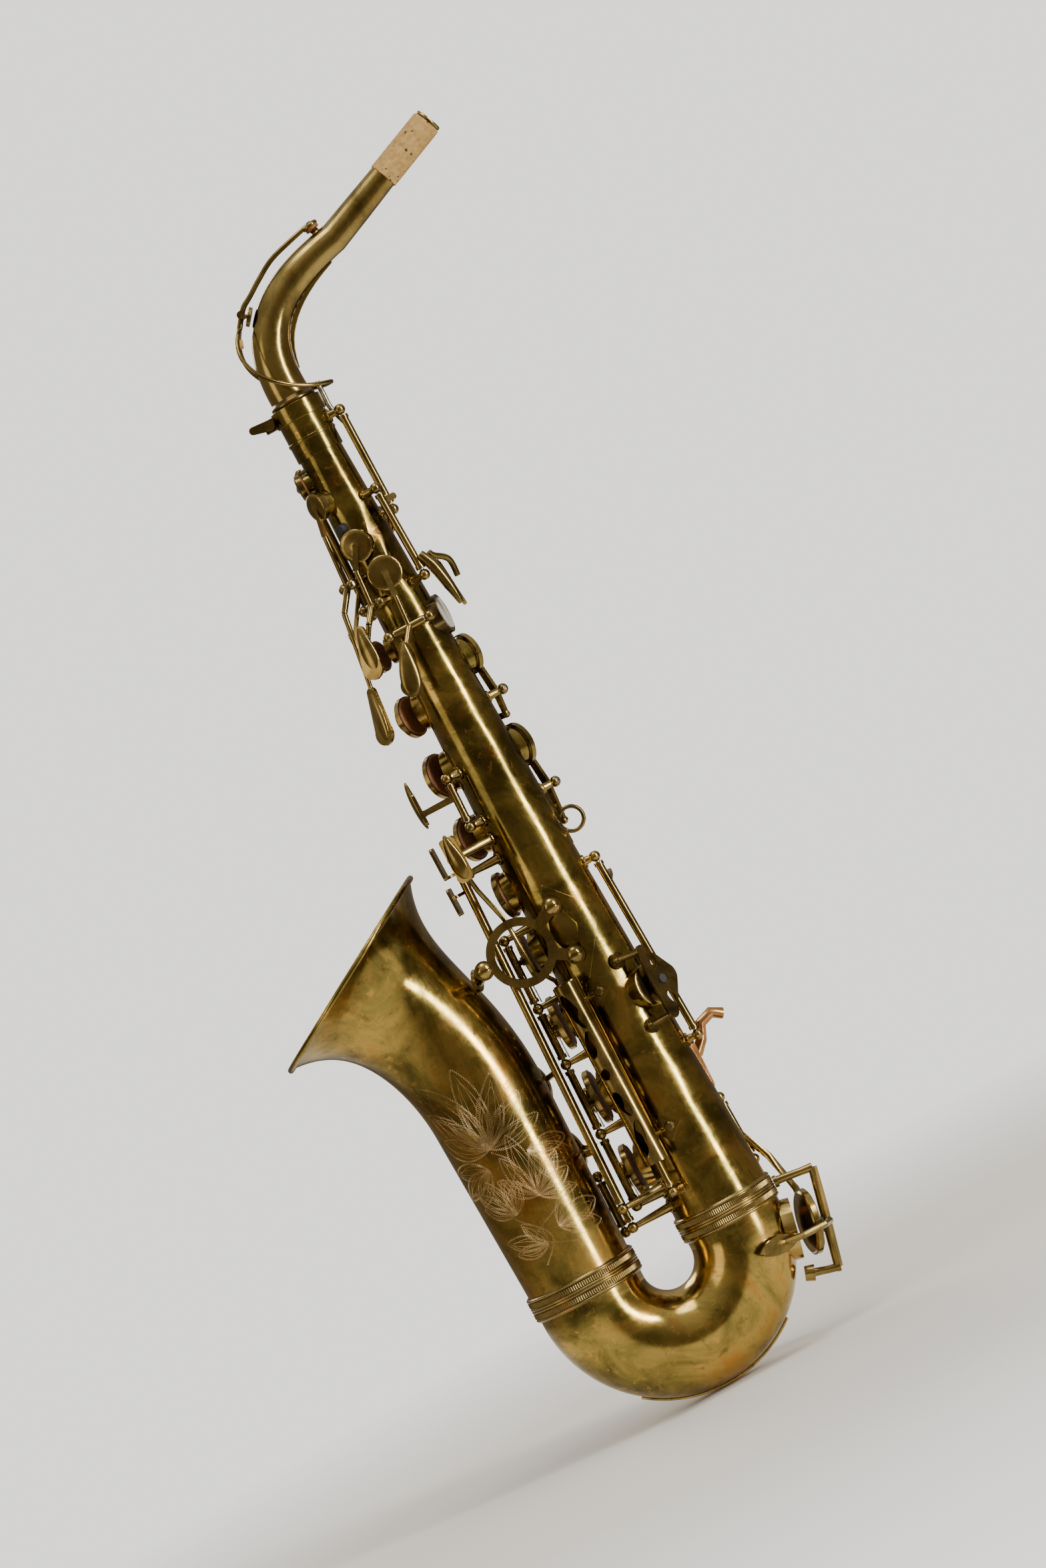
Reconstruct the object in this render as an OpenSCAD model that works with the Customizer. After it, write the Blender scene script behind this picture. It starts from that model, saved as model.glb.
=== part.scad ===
// Alto saxophone: body tube, bow, bell, neck, and every key as its own piece.
// The model is drawn on the body tube's axis, with z = 0 at the bow joint, and is then
// moved so that the strap ring's centre is the origin. -X is the bell side, +X faces the
// player, -Y is the player's left hand side.

/* [Body tube] */
// Length of the body tube, from the bow joint to the receiver
body_len = 460; // [440:1:480]
// Outer diameter of the body tube at the bow joint
body_bottom_d = 55; // [50:0.5:60]
// Outer diameter of the body tube at the receiver
body_top_d = 25; // [24:0.5:28]
// Wall of the body, bow, bell and neck
wall = 0.8; // [0.6:0.1:1.2]

/* [Bow and bell] */
// Distance between the body axis and the bell axis at the bow
bow_span = 87.6; // [84:0.2:92]
// Straight stretch of the bow below each joint
bow_straight = 17.5; // [15:0.5:22]
// Outer diameter of the bell at the bow joint
bell_bottom_d = 61; // [58:0.5:64]
// Outer diameter that the bell's cone reaches, before the flare is added
bell_throat_d = 73; // [70:0.5:78]
// Diameter of the bell's rim
bell_rim_d = 123; // [118:0.5:128]
// Height of the middle of the bell's rim above the bow joint
bell_height = 202; // [196:1:206]
// How far the bell's rim leans forward
bell_lean = 30; // [24:1:34]

/* [Neck] */
// Outer diameter of the mouthpiece cork
cork_d = 16.8; // [16:0.1:17.6]
// Length of the mouthpiece cork
cork_len = 38; // [32:1:42]
// Outer diameter of the neck tenon
tenon_d = 21; // [20:0.1:21.8]
// Length of the neck tenon inside the receiver
tenon_len = 24; // [18:1:26]

/* [Key work] */
// Diameter of a steel hinge rod
rod_d = 2.4; // [2:0.1:2.6]
// Running clearance of a key tube on its rod, on the radius
rod_clearance = 0.05; // [0.03:0.01:0.09]
// Outer diameter of a key tube
tube_d = 4.4; // [4.2:0.1:4.8]
// Diameter of a post's ball head
ball_d = 6.2; // [5.8:0.1:6.6]
// Thickness of a leather pad
pad_t = 3; // [2.6:0.1:3.4]
// Gap left between a closed pad and its tone hole
pad_gap = 0.3; // [0.25:0.05:0.5]
// How far the key cups stand open on the stacks, in degrees
stack_open = 14; // [10:0.5:15]
// How far the bell keys stand open, in degrees
bell_key_open = 7; // [5:0.5:8]

/* [Strap ring] */
// Inner diameter of the strap ring
ring_d = 11; // [10:0.5:13]
// Wire of the strap ring
ring_wire = 2.4; // [2:0.1:2.8]

/* [Hidden] */
$fn = 48;

brass = "#8a7435";
body_r0 = body_bottom_d / 2;
body_r1 = body_top_d / 2;
bow_r = bow_span / 2;
rod_r = rod_d / 2;
tube_r = tube_d / 2;
ball_r = ball_d / 2;
bore_r = rod_r + rod_clearance;
post_bore_r = rod_r + 0.02;
tube_end = ball_r + 0.4;      // a key tube stops this far from a post's centre
cup_h = pad_t + 2;            // a pad cup's height over the pad's face
arm_t = 1.8;                  // thickness of a key arm
chimney_h = 2.5;              // a tone hole's rim above the tube
ring_c = [26, 0, 220];        // centre of the strap ring, which becomes the origin
ring_bore_r = ring_d / 2 + 0.12;  // the ring's inside, worn slightly flat

// ---- places ----
// Outer radius of the body tube at height z
function body_r(z) = z > body_len ? 13.6 : body_r0 + (body_r1 - body_r0) * z / body_len;
// Point at azimuth a, height h over the tube's surface, at z
function spot(a, h, z) = let (r = body_r(z) + h) [r * cos(a), r * sin(a), z];
function along(line, z) =
  line[0] + (line[1] - line[0]) * (z - line[0].z) / (line[1].z - line[0].z);
function unit(v) = v / norm(v);
// A hinge line across the tube at azimuth a, of half length w
function cross_line(a, h, z, w) =
  let (p = spot(a, h, z), t = [-sin(a), cos(a), 0]) [p - w * t, p + w * t];
function outward(a) = [cos(a), sin(a), 0];
function bezier(p, t) =
  pow(1 - t, 3) * p[0] + 3 * t * pow(1 - t, 2) * p[1] + 3 * t * t * (1 - t) * p[2] + pow(t, 3) * p[3];

// ---- tone holes: [z, azimuth, hole radius] ----
front_f_hole = [448, 180, 5];
palm_f_hole = [434, 215, 5.6];
palm_eb_hole = [405, 250, 6.8];
palm_d_hole = [385, 270, 7.2];
high_e_hole = [412, 56, 6.6];
c_hole = [347, 165, 6.6];
b_hole = [310, 160, 9.5];
a_hole = [274, 160, 10.5];
g_hole = [236, 160, 10.6];
gsharp_hole = [200, 165, 11];
fsharp_hole = [164, 160, 12.8];
f_hole = [124, 160, 13.4];
e_hole = [79, 160, 13.4];
d_hole = [34, 160, 13.4];
side_c_hole = [326, 33, 9.4];
side_bb_hole = [269, 35, 10.4];
trill_hole = [121, -44, 9.4];
low_eb_hole = [52, 82, 12.8];
BODY_HOLES = [front_f_hole, palm_f_hole, palm_eb_hole, palm_d_hole, high_e_hole, c_hole, b_hole,
  a_hole, g_hole, gsharp_hole, fsharp_hole, f_hole, e_hole, d_hole, side_c_hole, side_bb_hole,
  trill_hole, low_eb_hole];
low_c_hole_r = 16;
low_c_dip = 13;               // the low C tone hole faces back and this far down
bell_hole_turn = 76;          // the bell's tone holes turn this far from the body, to the right
low_csharp_hole = [21, 13.6];  // z, hole radius
low_b_hole = [58, 16.6];
low_bb_hole = [99, 17.4];
BELL_HOLES = [low_csharp_hole, low_b_hole, low_bb_hole];
function cup_r(hole_r) = hole_r + 2.4;
// Where a cup's arm comes over its rim, on the side of its hinge line
function knee(line, hole) =
  let (n = outward(hole[1]), c = cup_top(hole), d = along(line, hole[0]) - c, t = unit(d - (d * n) * n))
    c + (cup_r(hole[2]) + 0.6) * t + 0.3 * n;
function cup_top(hole) = spot(hole[1], chimney_h + pad_gap + cup_h - 0.8, hole[0]);

// ---- the bell: its centre line leans forward at the rim ----
bell_rim_c = [-bow_span - 32.4, bell_height];
bell_straight = bell_height / 2;
bell_axis = [-sin(bell_lean), cos(bell_lean)];
bell_curve = [[-bow_span, bell_straight], [-bow_span, bell_straight + 38],
  bell_rim_c - 38 * bell_axis, bell_rim_c];
function bell_centre(t) =
  t < 0.5 ? [-bow_span, bell_straight * 2 * t] : bezier(bell_curve, 2 * t - 1);
function bell_r(t) =
  bell_bottom_d / 2 + (bell_throat_d - bell_bottom_d) / 2 * t
  + (bell_rim_d - bell_throat_d) / 2 * pow(t, 13);
// The bell's centre x and radius at a height on its straight stretch
function bell_at(z) =
  [-bow_span, bell_bottom_d / 2 + (bell_throat_d - bell_bottom_d) / 2 * z / bell_height];
function bell_spot(turn, h, z) =
  let (b = bell_at(z)) [b[0] + (b[1] + h) * cos(turn), (b[1] + h) * sin(turn), z];

// ---- the neck's centre line, in the plane of the bow ----
neck_bend = [[0, body_len + 33], [-3, body_len + 76], [20, body_len + 91], [62, body_len + 100]];
neck_run = [62, body_len + 100];
cork_base = [101, body_len + 116.5];
neck_dir = unit(cork_base - neck_run);
neck_tip = cork_base + (cork_len + 2.5) * neck_dir;
neck_r0 = 11.6;
neck_r1 = 7.6;

// ---- hinge lines, bottom end first ----
H_upper = [spot(112, 9, 184), spot(112, 9, 363)];
H_lower = [[-42.6, -9, 6], [-37.6, -8, 182]];
H_bb = [[-49.6, -13.5, 8], [-40.6, -13.5, 236]];
H_b = [[-50, -20.5, 8], [-41, -20.5, 236]];
H_trill = [spot(-6, 6.5, 80), spot(-6, 6.5, 199)];
H_guarded = [spot(233, 8, 12), spot(233, 8, 144)];
H_gsharp = [spot(208, 8, 238), spot(208, 8, 274)];
H_csharp_cup = [bell_spot(30, 7, 6), bell_spot(30, 7, 40)];
H_thumb = [spot(-42, 9.5, 371), spot(-42, 9.5, 431)];
H_pin = [[20.2, -5.4, 411], [20.2, -5.4, body_len + 19]];
H_front_f = [spot(140, 8, 364), spot(140, 8, 459)];
H_high_e = [spot(94, 8, 226), spot(94, 8, 428)];
H_side_c = [spot(76, 8, 204), spot(76, 8, 306)];
H_side_bb = [spot(59, 8, 172), spot(59, 8, 234)];
H_low_c = [spot(39, 6.5, 4), spot(39, 6.5, 50)];
H_low_eb = [spot(118, 8, 0), spot(118, 8, 74)];
H_palm_d = cross_line(265, 9, 353, 12.5);
H_palm_eb = cross_line(232, 8.5, 372, 6.5);
H_palm_f = cross_line(205, 8.5, 388, 6.5);
H_side_c_cup = cross_line(33, 8, 300, 9);
H_side_bb_cup = cross_line(35, 8, 242, 9);
neck_pivot = [-2.8, body_len + 86.2];
H_neck = [[neck_pivot[0], 5, neck_pivot[1]], [neck_pivot[0], -5, neck_pivot[1]]];

// ---- building blocks ----
module placed() { translate(-ring_c) children(); }

// Local X runs along v from p, and local Z points as nearly along n as it can
module facing(p, v, n) {
  x = unit(v);
  z = unit(n - (n * x) * x);
  y = cross(z, x);
  multmatrix([[x.x, y.x, z.x, p.x], [x.y, y.y, z.y, p.y], [x.z, y.z, z.z, p.z], [0, 0, 0, 1]])
    children();
}

function any_normal(v) = abs(unit(v).z) < 0.8 ? [0, 0, 1] : [1, 0, 0];

module bar(p, q, r, r2 = -1) {
  facing(p, q - p, any_normal(q - p)) rotate([0, 90, 0])
    cylinder(r1 = r, r2 = r2 < 0 ? r : r2, h = norm(q - p));
}

// A flat tapered arm from p to q
module blade(p, q, w1, w2, n, t = arm_t) {
  l = norm(q - p);
  facing(p, q - p, n) translate([0, 0, -t / 2]) linear_extrude(t) union() {
    polygon([[0, -w1 / 2], [l, -w2 / 2], [l, w2 / 2], [0, w1 / 2]]);
    translate([l, 0]) circle(w2 * 0.56);
  }
}

// A key tube on its hinge line, between two heights
module key_tube(line, z1, z2) {
  a = along(line, z1);
  b = along(line, z2);
  bar(a, b, tube_r);
  bar(a, a + 2.2 * unit(b - a), tube_r + 0.5);
  bar(b - 2.2 * unit(b - a), b, tube_r + 0.5);
}

// The same for a hinge line that runs across the tube
module cross_tube(line) {
  v = unit(line[1] - line[0]);
  bar(line[0] + tube_end * v, line[1] - tube_end * v, tube_r);
}

// Bores a key for the rod of its hinge line
module drilled(line) {
  v = unit(line[1] - line[0]);
  difference() {
    union() children();
    bar(line[0] - 2 * v, line[1] + 2 * v, bore_r);
  }
}

module swing(line, deg) {
  translate(line[0]) rotate(a = deg, v = line[1] - line[0]) translate(-line[0]) children();
}

// Local Z is the outward normal of a tone hole, with its origin on a closed pad's face
module seat(hole) {
  rotate([0, 0, hole[1]]) translate([body_r(hole[0]) + chimney_h + pad_gap, 0, hole[0]])
    rotate([0, 90, 0]) children();
}

module low_c_seat(h = chimney_h + pad_gap) {
  translate([-bow_r, 0, -bow_straight]) rotate([0, low_c_dip, 0])
    translate([bow_r + bow_tube_r(low_c_dip / 180) + h, 0, 0]) rotate([0, 90, 0]) children();
}

module bell_seat(hole, h = chimney_h + pad_gap) {
  b = bell_at(hole[0]);
  translate([b[0], 0, hole[0]]) rotate([0, 0, bell_hole_turn])
    translate([b[1] + h, 0, 0]) rotate([0, 90, 0]) children();
}

module cup(hole_r) {
  r = cup_r(hole_r);
  rotate_extrude() polygon([[0, pad_t + 0.05], [r - 0.7, pad_t + 0.05], [r - 0.7, 1], [r, 1],
    [r, cup_h - 1.2], [r - 0.9, cup_h - 0.5], [0, cup_h]]);
}

module pad(hole_r) {
  r = cup_r(hole_r) - 0.75;
  rotate_extrude() polygon([[0, 0], [r - 0.9, 0], [r, 0.8], [r, pad_t], [0, pad_t]]);
}

// A post from the tube's surface to a ball that holds the rod at p
module post(p, line, base_r = 4) {
  a = atan2(p.y, p.x);
  r = norm([p.x, p.y]);
  s = body_r(p.z);
  v = unit(line[1] - line[0]);
  difference() {
    rotate([0, 0, a]) translate([0, 0, p.z]) rotate([0, 90, 0]) {
      translate([0, 0, s - 0.8]) cylinder(r = base_r, h = 1.6);
      translate([0, 0, s]) cylinder(r1 = 2.7, r2 = 1.6, h = r - s - 1);
      translate([0, 0, r]) sphere(ball_r);
    }
    bar(p - 5 * v, p + 5 * v, post_bore_r);
  }
}

// A finger button, facing n
module button(p, n, r) {
  facing(p, any_normal(n), n)
    rotate_extrude() polygon([[0, -1.4], [r - 1.5, -1.4], [r, 0.2], [r, 1.2], [r - 0.8, 1.6],
      [r - 1.1, 0.8], [0, 0.8]]);
}

// A ring of n points round c, in the plane of the unit vectors u and v
function hoop(c, r, u, v, n) = [for (i = [0:n - 1]) c + r * (cos(360 * i / n) * u + sin(360 * i / n) * v)];

// Skins a list of equal rings into a solid; closed joins the last ring to the first
module skin(rings, closed = false) {
  n = len(rings[0]);
  m = len(rings);
  points = [for (ring = rings) each ring];
  sides = [for (i = [0:m - (closed ? 1 : 2)], j = [0:n - 1])
    let (k = (i + 1) % m, l = (j + 1) % n)
      each [[i * n + j, k * n + l, i * n + l], [i * n + j, k * n + j, k * n + l]]];
  ends = closed ? [] : [[for (j = [0:n - 1]) j], [for (j = [n - 1:-1:0]) (m - 1) * n + j]];
  polyhedron(points, concat(sides, ends), convexity = 8);
}

// A shell swept along a line in the plane y = 0, as rings that go out along the outside
// and back along the inside. path holds [x, z], radii the outer radius at each point.
module swept_shell(path, radii, tangents, sides) {
  m = len(path);
  ring = function (i, r)
    hoop([path[i][0], 0, path[i][1]], r, [tangents[i][1], 0, -tangents[i][0]], [0, 1, 0], sides);
  skin(concat([for (i = [0:m - 1]) ring(i, radii[i])], [for (i = [m - 1:-1:0]) ring(i, radii[i] - wall)]),
    closed = true);
}

// A round wire through 3D points
module wire(p, r, sides = 8) {
  m = len(p);
  dir = function (i) unit(p[min(i + 1, m - 1)] - p[max(i - 1, 0)]);
  skin([for (i = [0:m - 1])
    let (d = dir(i), u = unit(cross([0, 0.001, 1], d)), v = cross(d, u)) hoop(p[i], r, u, v, sides)]);
}

function bow_tube_r(t) = body_r0 + (bell_bottom_d / 2 - body_r0) * t;

// ---- body, bow and bell ----
module body_tube() color(brass) placed() difference() {
  union() {
    cylinder(r1 = body_r0, r2 = body_r1, h = body_len);
    for (h = BODY_HOLES) rotate([0, 0, h[1]]) translate([0, 0, h[0]]) rotate([0, 90, 0])
      cylinder(r = h[2] + 0.9, h = body_r(h[0]) + chimney_h);
  }
  translate([0, 0, -0.01]) cylinder(r1 = body_r0 - wall, r2 = body_r1 - wall, h = body_len + 0.02);
  for (h = BODY_HOLES) rotate([0, 0, h[1]]) translate([0, 0, h[0]]) rotate([0, 90, 0])
    cylinder(r = h[2], h = body_r(h[0]) + chimney_h + 1);
}

bow_steps = 20;
bow_path = concat([[0, 0]],
  [for (i = [0:bow_steps]) let (a = 180 * i / bow_steps)
    [-bow_r + bow_r * cos(a), -bow_straight - bow_r * sin(a)]],
  [[-bow_span, 0]]);
bow_radii = concat([body_r0], [for (i = [0:bow_steps]) bow_tube_r(i / bow_steps)], [bell_bottom_d / 2]);
bow_tangents = concat([[0, -1]],
  [for (i = [0:bow_steps]) let (a = 180 * i / bow_steps) [-sin(a), -cos(a)]], [[0, 1]]);

module bow() color(brass) placed() difference() {
  union() {
    swept_shell(bow_path, bow_radii, bow_tangents, 32);
    difference() {
      low_c_seat(-3.5) cylinder(r = low_c_hole_r + 1, h = 3.5 + chimney_h);
      low_c_seat(-4) cylinder(r = low_c_hole_r, h = 8);
    }
  }
  low_c_seat(-9) cylinder(r = low_c_hole_r, h = 14);
}

bell_steps = 26;
module bell() color(brass) placed() {
  t = [for (i = [0:bell_steps]) 1 - pow(1 - i / bell_steps, 1.5)];
  path = [for (k = t) bell_centre(k)];
  tangents = [for (k = t) k <= 0.5 ? [0, 1] : unit(bell_centre(min(k + 0.01, 1)) - bell_centre(k - 0.01))];
  difference() {
    union() {
      swept_shell(path, [for (k = t) bell_r(k)], tangents, 40);
      for (h = BELL_HOLES) difference() {
        bell_seat(h, -6) cylinder(r = h[1] + 1, h = 6 + chimney_h);
        bell_seat(h, -7) cylinder(r = h[1], h = 12);
        translate([-bow_span, 0, 0])
          cylinder(r1 = bell_at(0)[1] - wall / 2, r2 = bell_at(bell_height)[1] - wall / 2, h = bell_height);
      }
      translate([bell_rim_c[0], 0, bell_rim_c[1]]) rotate([0, -bell_lean, 0])
        rotate_extrude($fn = 64) translate([bell_rim_d / 2, 0]) circle(1.7, $fn = 24);
    }
    for (h = BELL_HOLES) bell_seat(h, -14) cylinder(r = h[1], h = 22);
  }
}

// A sleeve over a joint, with a raised band at each edge
module ferrule(x, r) {
  translate([x, 0, -13.5]) difference() {
    union() {
      cylinder(r = r + 1, h = 14);
      translate([0, 0, 0.8]) cylinder(r = r + 1.7, h = 4.2);
      translate([0, 0, 8.6]) cylinder(r = r + 1.7, h = 4.2);
    }
    translate([0, 0, -1]) cylinder(r = r + 0.02, h = 16);
  }
}
module body_ferrule() color("#7a672d") placed() ferrule(0, body_r0);
module bell_ferrule() color("#7a672d") placed() ferrule(-bow_span, bell_bottom_d / 2 + 0.35);

module bow_wear_strip() color("#4d4320") placed() skin([for (i = [0:24])
  let (a = 52 + 76 * i / 24, r = bow_r + bow_tube_r(a / 180) + 0.1)
    [for (c = [[0, -2.5], [1.2, -2.5], [1.2, 2.5], [0, 2.5]])
      [-bow_r + (r + c[0]) * cos(a), -c[1], -bow_straight - (r + c[0]) * sin(a)]]]);

// ---- neck and receiver ----
receiver_z = body_len - 0.3;
receiver_h = 30.4;
module neck_receiver() color(brass) placed() translate([0, 0, receiver_z]) difference() {
  union() {
    cylinder(r = body_r1 + 0.9, h = 8);
    cylinder(r = 13.6, h = receiver_h);
    translate([0, 0, receiver_h - 9]) cylinder(r = 14.7, h = 9);
    translate([0, 0, receiver_h - 21]) cylinder(r = 14.1, h = 1.6);
    translate([-21, -3.2, receiver_h - 8]) cube([10, 6.4, 7]);
  }
  translate([0, 0, -1]) cylinder(r = body_r1 + 0.02, h = 3.3);
  cylinder(r = tenon_d / 2 + 0.05, h = receiver_h + 1);
  translate([-22, -0.6, receiver_h - 12]) cube([14, 1.2, 14]);
  translate([-17.8, -20, receiver_h - 4.5]) rotate([-90, 0, 0]) cylinder(r = 1.65, h = 40);
}

module clamp_screw() color("#8c7a42") placed() translate([-17.8, 0, receiver_z + receiver_h - 4.5])
  rotate([90, 0, 0]) {
    translate([0, 0, -5.5]) cylinder(r = 1.6, h = 11);
    translate([0, 0, 3.6]) cylinder(r = 2.6, h = 3.5);
    translate([0, 0, 6.2]) linear_extrude(2.2) hull() {
      circle(3);
      translate([-9, 1.5]) circle(2.2);
    }
  }

neck_steps = 22;
neck_bottom = receiver_z + receiver_h - tenon_len;
neck_t = [for (i = [0:neck_steps]) i / neck_steps];
neck_start = receiver_z + receiver_h + 0.3;
neck_path = concat([[0, neck_start]], [for (k = neck_t) bezier(neck_bend, k)], [cork_base, neck_tip]);
neck_tangents = concat([[0, 1]],
  [for (k = neck_t) unit(bezier(neck_bend, min(k + 0.01, 1)) - bezier(neck_bend, max(k - 0.01, 0)))],
  [neck_dir, neck_dir]);
function neck_r(k) = neck_r0 + (neck_r1 + 0.9 - neck_r0) * k;
neck_radii = concat([neck_r0], [for (k = neck_t) neck_r(k)],
  [neck_r1, neck_r1 - 0.7]);

module neck_tube() color(brass) placed() {
  swept_shell(neck_path, neck_radii, neck_tangents, 28);
  // the tenon sleeve that turns in the receiver, and its collar
  translate([0, 0, neck_bottom]) difference() {
    union() {
      cylinder(r = tenon_d / 2, h = tenon_len + 0.5);
      translate([0, 0, tenon_len + 0.3]) cylinder(r = 13, h = 2.4);
    }
    translate([0, 0, -1]) cylinder(r = tenon_d / 2 - 0.9, h = tenon_len + 2);
    translate([0, 0, tenon_len + 0.9]) cylinder(r = neck_r0 - wall / 2, h = 4);
  }
}

module neck_cork() color("#b98d55") placed()
  facing([cork_base[0], 0, cork_base[1]], [neck_dir[0], 0, neck_dir[1]], [0, 0, 1]) rotate([0, 90, 0])
    difference() {
      cylinder(r = cork_d / 2, h = cork_len);
      translate([0, 0, -1]) cylinder(r = neck_r1 + 0.05, h = cork_len + 2);
    }

// The fin that stiffens the inside of the neck's bend
module neck_brace() color(brass) placed() rotate([90, 0, 0]) translate([0, 0, -1])
  linear_extrude(2) {
    k = [for (i = [0:12]) 0.12 + 0.8 * i / 12];
    side = function (t, h) let (d = unit(bezier(neck_bend, t + 0.01) - bezier(neck_bend, t - 0.01)))
      bezier(neck_bend, t) + (neck_r(t) + h) * [d[1], -d[0]];
    polygon(concat([for (t = k) side(t, 0.05)],
      [for (i = [12:-1:0]) side(k[i], 0.8 + 2.2 * sin(180 * i / 12))]));
  }

// Two ears on a foot, with the pin that the neck's octave key turns on
saddle_dir = [-0.78, 0.62];
module neck_octave_saddle() color(brass) placed() {
  foot = neck_pivot - 4.4 * saddle_dir;
  bar([foot[0], 0, foot[1]] - [saddle_dir[0], 0, saddle_dir[1]],
    [foot[0], 0, foot[1]] + 0.9 * [saddle_dir[0], 0, saddle_dir[1]], 5.4);
  for (s = [-1, 1]) {
    bar([foot[0], s * 4, foot[1]], [neck_pivot[0], s * 4, neck_pivot[1]], 0.9);
    bar([neck_pivot[0], s * 3.1, neck_pivot[1]], [neck_pivot[0], s * 5, neck_pivot[1]], 2.3);
  }
  bar([neck_pivot[0], -5, neck_pivot[1]], [neck_pivot[0], 5, neck_pivot[1]], 1);
}

pip = [54.4, body_len + 106.6];
pip_dir = unit([-0.24, 1]);
module neck_pip() {
  bar([pip[0], 0, pip[1]] - 6 * [pip_dir[0], 0, pip_dir[1]], [pip[0], 0, pip[1]] + 2.2 * [pip_dir[0], 0, pip_dir[1]], 2.4);
}

octave_ring = [[-7, body_len + 80], [-26, body_len + 59], [0, body_len + 34], [23.6, body_len + 31.5]];
function octave_ring_at(s) = let (k = s < 0.5 ? 2 * s : 2 - 2 * s, p = bezier(octave_ring, k))
  [p[0], (s < 0.5 ? 1 : -1) * 20 * pow(sin(180 * k), 0.55), p[1]];
octave_cup = pip + (2.2 + pad_gap) * pip_dir;
module octave_cup_at() facing([octave_cup[0], 0, octave_cup[1]], [1, 0, 0.24], [pip_dir[0], 0, pip_dir[1]])
  children();

module neck_octave_key() color(brass) placed() {
  octave_cup_at() cylinder(r = 4, h = 2);
  difference() {
    union() {
      bar([neck_pivot[0], -2.8, neck_pivot[1]], [neck_pivot[0], 2.8, neck_pivot[1]], 2.2);
      wire([for (i = [0:30]) octave_ring_at(i / 30)], 1.15);
      bar([neck_pivot[0], 0, neck_pivot[1]], [-7, 0, body_len + 80], 1.5);
      wire([for (p = [[neck_pivot[0], neck_pivot[1]], [6, body_len + 93], [26, body_len + 105.5], octave_cup + 3.6 * pip_dir])
        [p[0], 0, p[1]]], 1.3);
      octave_cup_at() difference() {
        cylinder(r = 4.6, h = 4);
        translate([0, 0, -1]) cylinder(r = 4.05, h = 3.05);
      }
    }
    bar([neck_pivot[0], -9, neck_pivot[1]], [neck_pivot[0], 9, neck_pivot[1]], 1.05);
  }
}

// ---- posts, rods and springs ----
POSTS = [
  for (z = [184, 216, 254, 292, 329, 363]) [H_upper, z],
  for (z = [18, 61.5, 103.7, 137.4, 178.6]) [H_lower, z],
  for (z = [9, 219.8]) [H_bb, z],
  for (z = [21, 231]) [H_b, z],
  for (z = [84.3, 196]) [H_trill, z],
  for (z = [17, 139]) [H_guarded, z],
  for (z = [242, 271]) [H_gsharp, z],
  for (z = [374.2, 428]) [H_thumb, z],
  for (z = [414, body_len + 15.5]) [H_pin, z],
  for (z = [369, 455.5]) [H_front_f, z],
  for (z = [236, 424]) [H_high_e, z],
  for (z = [208, 302]) [H_side_c, z],
  for (z = [174, 230]) [H_side_bb, z],
  for (z = [8, 46.8]) [H_low_c, z],
  for (z = [6.5, 31, 72]) [H_low_eb, z]
];
CROSS_LINES = [H_palm_d, H_palm_eb, H_palm_f, H_side_c_cup, H_side_bb_cup];
LINES = [H_upper, H_lower, H_bb, H_b, H_trill, H_guarded, H_thumb, H_pin, H_front_f, H_high_e,
  H_gsharp, H_side_c, H_side_bb, H_low_c, H_low_eb, H_csharp_cup];

// Leaves out what would sink into the body tube or the receiver
module on_body() {
  difference() {
    union() children();
    cylinder(r1 = body_r0, r2 = body_r1, h = body_len);
    translate([0, 0, body_len - 1]) cylinder(r = 13.6, h = 24);
  }
}

module key_posts() color(brass) placed() on_body() {
  for (p = POSTS) post(along(p[0], p[1]), p[0]);
  for (end = H_csharp_cup) difference() {
    union() {
      bar(bell_spot(30, 0.2, end.z), bell_spot(30, 1.2, end.z), 3.4);
      bar(bell_spot(30, 0.4, end.z), end, 2.4, 1.6);
      translate(end) sphere(ball_r);
    }
    bar(end - [0, 0, 5], end + [0, 0, 5], post_bore_r);
  }
  for (line = CROSS_LINES, end = [0, 1]) post(line[end], line, 3.4);
}

module hinge_rods() color("#8f8f88") placed() {
  for (line = LINES) {
    heights = [for (p = POSTS) if (p[0] == line) p[1], if (line == H_csharp_cup) each [6, 40]];
    bar(along(line, min(heights) - 2.6), along(line, max(heights) + 2.6), rod_r);
  }
  for (line = CROSS_LINES) {
    v = unit(line[1] - line[0]);
    bar(line[0] - 2.4 * v, line[1] + 2.4 * v, rod_r);
  }
}

// The arm of a cup that swings on a line along the body
module cup_arm(line, hole, w = 5) {
  n = outward(hole[1]);
  bar(along(line, hole[0]), knee(line, hole), 1.7);
  blade(knee(line, hole), cup_top(hole), w, w * 0.8, n);
}

// ---- stack keys: cups stand open on springs ----
module stack_key(line, hole, z1, z2, open, touch_r = 0) {
  c = cup_top(hole);
  swing(line, open) drilled(line) {
    key_tube(line, z1, z2);
    seat(hole) cup(hole[2]);
    cup_arm(line, hole);
    if (touch_r > 0) button(c + 2 * outward(hole[1]), outward(hole[1]), touch_r);
  }
}
module stack_pad(line, hole, open) {
  swing(line, open) seat(hole) pad(hole[2]);
}

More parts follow.
